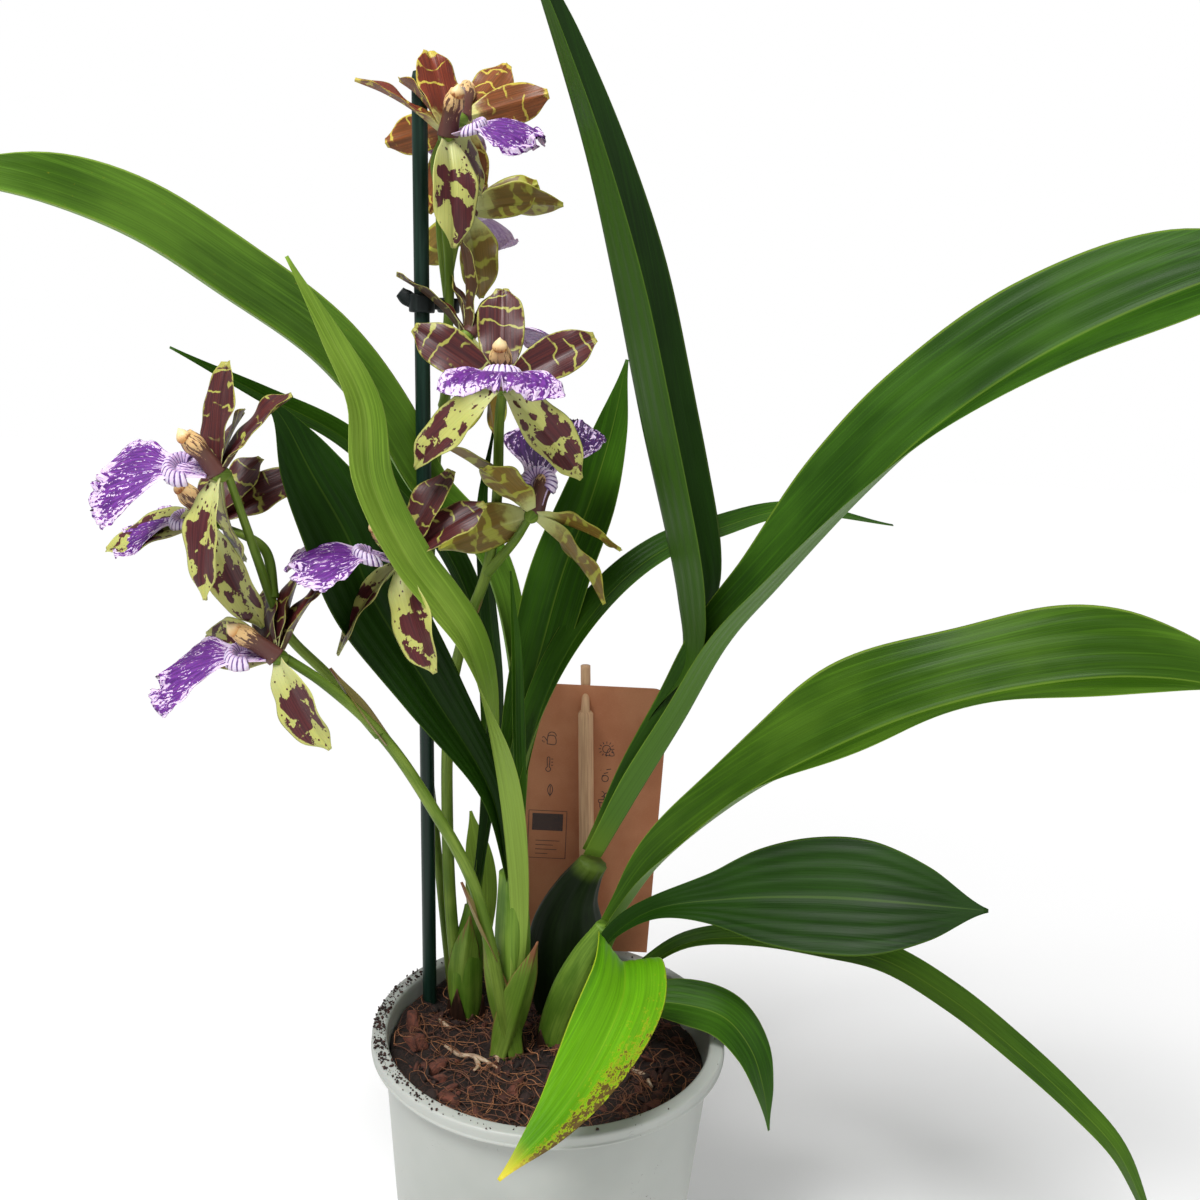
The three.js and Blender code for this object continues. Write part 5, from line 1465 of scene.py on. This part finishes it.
def wood_look():
    look = Look("stick_beige", roughness=0.72)
    grain = look.attribute("grain")
    lines = look.noise(look.scaled(grain, (1.8, 0.05, 1.0)), 1.0, detail=4.0, rough=0.6)
    colour = look.mix(look.step(lines, 0.3, 0.7), rgb(206, 168, 130), rgb(176, 134, 100))
    return look.finish(colour, lines, strength=0.35, distance=0.0003)


def kraft_look():
    """Brown card: long fibres, fine flecks and soft shade."""
    look = Look("kraft_card", roughness=0.82)
    grain = look.attribute("grain")
    fleck = look.noise(look.scaled(grain, (1.1, 3.5, 1.0)), 1.0, detail=4.0, rough=0.7)
    cloud = look.noise(look.scaled(grain, (0.06, 0.05, 1.0)), 1.0, detail=3.0)
    colour = look.mix(look.step(cloud, 0.35, 0.65), rgb(182, 122, 86), rgb(170, 108, 74))
    colour = look.mix(look.step(fleck, 0.55, 0.75, 0.0, 0.4), colour, rgb(206, 152, 112))
    colour = look.mix(look.step(fleck, 0.45, 0.25, 0.0, 0.35), colour, rgb(132, 82, 56))
    return look.finish(colour, fleck, strength=0.2, distance=0.0002)


def ink_look():
    look = Look("card_ink", roughness=0.7)
    worn = look.noise(look.attribute("grain"), 3.0, detail=3.0)
    return look.finish(look.mix(look.step(worn, 0.3, 0.7), rgb(46, 38, 40), rgb(70, 56, 52)))


INNER_RIM = RIM_RADIUS - RIM_WIDTH
STAKE_FOOT = (-0.8 * INNER_RIM, 0.4174 * INNER_RIM)
STAKE_LEAN = (-9 / 330, 0)
STICK_FOOT = (0.2261 * INNER_RIM, 0.8696 * INNER_RIM)
STICK_LEAN = (-6 / 116, 4 / 116)
STAKE_RADIUS = 2.6
STAKE_DEPTH = 20
STAKE_LENGTH = 352


def leaning(foot, lean, z):
    """A place on a leaning rod's axis, z above the medium."""
    return (foot[0] + lean[0] * z, foot[1] + lean[1] * z, MEDIUM_TOP + z)


def make_stake():
    shape = Shape()
    top = STAKE_LENGTH - STAKE_DEPTH
    ends = [-STAKE_DEPTH, top * 0.5, top]
    spec = {
        "path": [leaning(STAKE_FOOT, STAKE_LEAN, z) for z in ends],
        "radius": [STAKE_RADIUS] * 4,
        "steps": 160,
        "sides": 28,
        "relief": lambda t, s: -0.5 * smoothstep(0.9985, 1, s) - 0.05 * (1 + np.cos(2 * math.pi * 7 * t)),
    }
    add_tube(shape, spec)
    green = plastic_look("stake_green", (12, 34, 26), (20, 46, 36))
    shape.piece("stake_rod", [green], "stake_plastic", "stake")


CLIP_HEIGHT = 260
CLIP_STEM = (-46, 37)


def add_band(shape, centre, inner, outer, height):
    """A rounded hoop round an upright stem."""
    x, y, z = centre
    half, wall = height / 2, outer - inner
    ring = [
        (inner, z - half + 0.4),
        *rounded((outer, z - half), (outer - 0.4 * wall, z - half), (outer, z - half + 0.7), 4),
        *rounded((outer, z + half), (outer, z + half - 0.7), (outer - 0.4 * wall, z + half), 4),
        (inner, z + half - 0.4),
    ]
    turn = 2 * math.pi * np.arange(40) / 40
    rows, sides = len(ring), len(turn)
    radius = np.array([p[0] for p in ring])[:, None]
    height_at = np.array([p[1] for p in ring])[:, None]
    px, py = x + radius * np.cos(turn), y + radius * np.sin(turn)
    points = np.stack([px, py, np.broadcast_to(height_at, px.shape)], -1)
    faces = []
    for k in range(rows):
        low, high = k * sides, (k + 1) % rows * sides
        for i in range(sides):
            j = (i + 1) % sides
            faces.append([high + j, high + i, low + i, low + j])
    grain = np.stack([turn * radius, np.broadcast_to(height_at, px.shape), np.zeros(px.shape)], -1)
    shape.add(points, faces, grain, np.ones((rows * sides, 3)))


def make_clip():
    """A collar round the stake and one round a stem, two arms between them, and a lever."""
    shape = Shape()
    x, y, z = leaning(STAKE_FOOT, STAKE_LEAN, CLIP_HEIGHT)
    stem_x, stem_y = CLIP_STEM
    add_band(shape, (x, y, z), STAKE_RADIUS + 0.05, STAKE_RADIUS + 1.7, 6)
    add_band(shape, (stem_x, stem_y, z), STEM_RADIUS - 0.3, STEM_RADIUS + 1.7, 5)
    middle = (0.5 * (x + stem_x), 0.5 * (y + stem_y))
    for sign in (-1, 1):
        ends = ((x + 1.2 * sign, y + 3), (middle[0] + 1.7 * sign, middle[1]), (stem_x + sign, stem_y - 3))
        arm = {"path": [(*end, z) for end in ends], "face": (UP, UP), "radius": (1.9, 1.6, 1.9)}
        add_tube(shape, {**arm, "flatness": 0.4, "steps": 20, "sides": 16})
    side = x - STAKE_RADIUS
    path = [(side - out, y, z + rise) for out, rise in ((0.4, 0.5), (3, 2), (4.8, 3.4))]
    lever = {"path": path, "face": ((0, 1, 0), (0, 1, 0)), "radius": (1.0, 1.1, 0.8)}
    add_tube(shape, {**lever, "flatness": 2.4, "steps": 16, "sides": 18})
    dark = plastic_look("clip_dark", (20, 26, 26), (36, 42, 42))
    shape.piece("stake_clip_body", [dark], "stake_plastic", "stake_clip")


STICK_RADIUS = 2.9
STICK_DEPTH = 18
STICK_TOP = 128
SHANK_TOP = 112
TIP_RADIUS = 1.9
CARD_GAP = 0.6
CARD_THICKNESS = 0.6
CARD_WIDTH = 62
CARD_HEIGHT = 115
CARD_LEFT = -23
CARD_BOTTOM = 6
CARD_CORNER = 6
CARD_TAPER = 3
CARD_CUT = 6.3


def stick_path(heights, behind):
    """Places up the stick, each set back by its share of behind."""
    places = [leaning(STICK_FOOT, STICK_LEAN, z) for z in heights]
    return [(x, y + back, z) for (x, y, z), back in zip(places, behind)]


def make_stick():
    """Round shank, cut to a thin neck that passes through the card to a blunt tip behind it."""
    shape = Shape()
    shank = {
        "path": [leaning(STICK_FOOT, STICK_LEAN, z) for z in (-STICK_DEPTH, 20, SHANK_TOP)],
        "radius": [STICK_RADIUS] * 4,
        "steps": 120,
        "sides": 28,
        "relief": lambda t, s: 0.08 * np.cos(2 * math.pi * 5 * t) - 0.7 * smoothstep(0.994, 1, s),
    }
    add_tube(shape, shank)
    through = STICK_RADIUS + CARD_GAP + CARD_THICKNESS + CARD_GAP + TIP_RADIUS
    path = stick_path([SHANK_TOP + rise for rise in (-3, 1, 6, 9)], (0, 0, through, through))
    neck = {"path": path, "radius": (1.9, 1.6, 1.5, 1.8), "flatness": 1.25}
    add_tube(shape, {**neck, "steps": 30, "sides": 20})
    path = stick_path((SHANK_TOP + 6, SHANK_TOP + 11, STICK_TOP), (through,) * 3)
    tip = {"path": path, "radius": (1.6, TIP_RADIUS, TIP_RADIUS, TIP_RADIUS), "flatness": 1.3}
    add_tube(shape, {**tip, "steps": 24, "sides": 24})
    shape.piece("card_stick_wood", [wood_look()], "stick_wood", "card_stick")


def card_place(x, height, depth):
    """A place on the card, from its lower left corner; depth 0 is its front face."""
    z = CARD_BOTTOM + height
    front = STICK_FOOT[1] + STICK_RADIUS + CARD_GAP
    return (CARD_LEFT + x, front + STICK_LEAN[1] * z + depth, MEDIUM_TOP + z)


def card_edge(height):
    """Left and right ends of the card at a height: tapered foot and rounded top corners."""
    inset = CARD_TAPER * max(0, 1 - height / (CARD_HEIGHT - CARD_CORNER))
    over = max(0, height - (CARD_HEIGHT - CARD_CORNER)) / CARD_CORNER
    inset += CARD_CORNER * (1 - math.sqrt(max(0, 1 - over * over)))
    return inset, CARD_WIDTH - inset


def make_card():
    """The card, without the lowest CARD_CUT of its height, so that it clears the pot's rim."""
    shape = Shape()
    heights = [CARD_CUT + (CARD_HEIGHT - CARD_CUT) * k / 60 for k in range(57)]
    heights += [CARD_HEIGHT - CARD_CORNER * (1 - math.sin(a)) for a in np.radians(np.linspace(0, 89, 12))]
    heights = sorted(set(h for h in heights if h <= CARD_HEIGHT))
    columns = 40
    points, grain = [], []
    for height in heights:
        left, right = card_edge(height)
        xs = [left + (right - left) * k / columns for k in range(columns + 1)]
        for x in xs:
            points.append(card_place(x, height, 0))
        for x in reversed(xs):
            points.append(card_place(x, height, CARD_THICKNESS))
        grain += [(x, height, 0) for x in xs] + [(x, height, 1) for x in reversed(xs)]
    n = 2 * (columns + 1)
    shape.add(points, skin_faces(len(heights), n), grain, np.ones((len(points), 3)))
    shape.piece("care_card_sheet", [kraft_look()], "kraft", "care_card", smooth=False)


def arc(x, y, radius, start, end):
    """Points round an arc, in degrees."""
    turns = np.radians(np.linspace(start, end, 14))
    return [(x + radius * math.cos(a), y + radius * math.sin(a)) for a in turns]


def rays(y, near, far):
    """Twelve short lines that point away from a centre."""
    turns = np.radians(range(0, 360, 30))
    return [[(r * math.cos(a), y + r * math.sin(a)) for r in (near, far)] for a in turns]


# Line drawings for the card, each in a square from -1 to 1.
ICONS = {
    "sun": [
        arc(0, 0.1, 0.42, 0, 360),
        *rays(0.1, 0.6, 0.85),
        [(-0.1, -0.6), (0.35, 0.2), (0.85, -0.6), (-0.1, -0.6)],
    ],
    "can": [
        [(-0.4, -0.6), (0.5, -0.6), (0.4, 0.3), (-0.3, 0.3), (-0.4, -0.6)],
        [(-0.35, -0.3), (-0.8, 0.2), (-0.95, 0.1)],
        arc(0.1, 0.3, 0.45, 0, 180),
        [(-0.9, -0.2), (-0.9, -0.35)],
        [(-0.75, -0.3), (-0.75, -0.45)],
    ],
    "thermometer": [
        arc(0, -0.55, 0.26, 110, 430),
        [(-0.1, -0.3), (-0.1, 0.8), (0.1, 0.8), (0.1, -0.3)],
        *[[(0.3, y), (0.5, y)] for y in (0.6, 0.25, -0.1)],
    ],
    "pot": [
        [(-0.6, 0.1), (0.6, 0.1), (0.6, -0.15), (-0.6, -0.15), (-0.6, 0.1)],
        [(-0.45, -0.15), (-0.32, -0.9), (0.32, -0.9), (0.45, -0.15)],
        [(0, 0.1), (0, 0.6)],
        arc(0.3, 0.6, 0.3, 90, 270),
        arc(-0.3, 0.75, 0.3, -90, 90),
    ],
    "drops": [
        [(-0.5, 0.6), (-0.5, 0.55)],
        [(0.1, 0.65), (0.6, 0.75)],
        arc(0, -0.35, 0.35, 0, 360),
        [(-0.15, 0.2), (0.3, 0.35)],
        [(-0.35, -0.1), (-0.15, 0.05)],
    ],
    "leaf": [arc(-0.5, 0, 0.9, -45, 45), arc(0.77, 0, 0.9, 135, 225), [(0.13, -0.75), (0.13, 0.5)]],
}
# Where each drawing's middle is, as shares of the card's width and height.
ICON_PLACES = {
    "can": (0.28, 0.81),
    "thermometer": (0.27, 0.72),
    "leaf": (0.28, 0.63),
    "sun": (0.63, 0.78),
    "drops": (0.63, 0.69),
    "pot": (0.63, 0.6),
}
# The framed panel's left, right, low and high edges, as the same shares.
PANEL = (0.16, 0.4, 0.385, 0.555)
ICON_SIZE = 3.6
LINE_RADIUS = 0.2
INK_RISE = 0.03


def add_line(shape, points, radius=LINE_RADIUS):
    """An ink line on the card's front through points given from its lower left corner."""
    path = [card_place(x, y, radius * 0.25 - INK_RISE) for x, y in points]
    if len(path) == 2:
        path.insert(1, tuple(np.mean(path, axis=0)))
    spec = {"path": path, "face": ((0, -1, 0), (0, -1, 0)), "radius": (radius * 0.25,) * 2, "flatness": 4}
    add_tube(shape, {**spec, "steps": 6 + 3 * len(path), "sides": 8})


def make_print():
    """Generic care drawings and a plain panel, with bars where words would be."""
    shape = Shape()
    for name, (across, up) in ICON_PLACES.items():
        x, y = across * CARD_WIDTH, up * CARD_HEIGHT
        for line in ICONS[name]:
            add_line(shape, [(x + ICON_SIZE * px, y + ICON_SIZE * py) for px, py in line])
    left, right, low, high = np.multiply(PANEL, (CARD_WIDTH, CARD_WIDTH, CARD_HEIGHT, CARD_HEIGHT))
    frame_corners = [(left, low), (right, low), (right, high), (left, high)]
    for a, b in zip(frame_corners, frame_corners[1:] + frame_corners[:1]):
        add_line(shape, [a, b], 0.13)
    for k in range(14):
        y = high - 1.4 - k * 0.5
        add_line(shape, [(left + 1.4, y), (right - 1.4, y)], 0.34)
    for k, share in enumerate((0.95, 0.7, 0.85, 0.5)):
        y = low + 7.2 - 1.8 * k
        add_line(shape, [(left + 3, y), (left + 3 + share * (right - left - 5), y)], 0.16)
    shape.piece("card_print", [ink_look()], "kraft")


make_leaves()
make_growths()
make_old_sheaths()
make_flowers()
make_spikes()
make_pot()
make_medium()
make_stake()
make_clip()
make_stick()
make_card()
make_print()


# ---------------------------------------------------------------- camera, light and floor

CAMERA_AT = (0.01074, -0.38608, 0.34914)
CAMERA_PITCH = math.radians(12.24)
CAMERA_ROLL = math.radians(2.75)
AMBIENT = 0.45


def make_camera():
    data = bpy.data.cameras.new("camera")
    data.lens, data.sensor_width = 36, 36
    data.clip_start = 0.01
    camera = bpy.data.objects.new("camera", data)
    bpy.context.scene.collection.objects.link(camera)
    tilt = Matrix.Rotation(math.pi / 2 - CAMERA_PITCH, 4, "X") @ Matrix.Rotation(CAMERA_ROLL, 4, "Z")
    camera.matrix_world = Matrix.Translation(CAMERA_AT) @ tilt
    bpy.context.scene.camera = camera


def make_light(name, place, size, watts, target=(0, 0, 0.22)):
    data = bpy.data.lights.new(name, "AREA")
    data.shape, data.size, data.energy = "DISK", size, watts
    light = bpy.data.objects.new(name, data)
    bpy.context.scene.collection.objects.link(light)
    back = Matrix.Translation(place)
    aim = np.array(place) - np.array(target)
    light.matrix_world = back @ Vector(aim).to_track_quat("Z", "Y").to_matrix().to_4x4()


def floor_look():
    """Matt white that turns into plain light away from the object, so that its far edge can't be seen."""
    look = Look("floor_paint", roughness=0.9, Specular_IOR_Level=0.1)
    place = look.add("TexCoord").outputs["Object"]
    reach = look.add("VectorMath", {0: place}, operation="LENGTH").outputs["Value"]
    seen = look.add("LightPath").outputs["Is Camera Ray"]
    far = look.math("MULTIPLY", look.step(reach, 0.16, 0.62), seen)
    look.feed(look.shader.inputs["Emission Color"], (1.0, 1.0, 1.0))
    look.feed(look.shader.inputs["Emission Strength"], far)
    return look.finish(look.mix(far, (0.92, 0.92, 0.92), (0.0, 0.0, 0.0)))


def make_floor():
    mesh = bpy.data.meshes.new("floor")
    half = 3.0
    corners = [(-half, -half, 0), (half, -half, 0), (half, half, 0), (-half, half, 0)]
    mesh.from_pydata(corners, [], [[0, 1, 2, 3]])
    mesh.materials.append(floor_look())
    floor = bpy.data.objects.new("floor", mesh)
    bpy.context.scene.collection.objects.link(floor)


def make_world():
    world = bpy.data.worlds.new("studio")
    world.use_nodes = True
    tree = world.node_tree
    ambient = tree.nodes["Background"]
    ambient.inputs["Color"].default_value = (1, 1, 1, 1)
    ambient.inputs["Strength"].default_value = AMBIENT
    backdrop = tree.nodes.new("ShaderNodeBackground")
    backdrop.inputs["Color"].default_value = (1, 1, 1, 1)
    path = tree.nodes.new("ShaderNodeLightPath")
    mix = tree.nodes.new("ShaderNodeMixShader")
    tree.links.new(path.outputs["Is Camera Ray"], mix.inputs[0])
    tree.links.new(ambient.outputs[0], mix.inputs[1])
    tree.links.new(backdrop.outputs[0], mix.inputs[2])
    tree.links.new(mix.outputs[0], tree.nodes["World Output"].inputs[0])
    bpy.context.scene.world = world


make_camera()
make_floor()
make_world()
make_light("key", (-0.5, -0.7, 1.5), 0.7, 30)
make_light("fill", (1.2, -0.8, 0.9), 1.2, 5)
bpy.context.scene.view_settings.view_transform = "Standard"
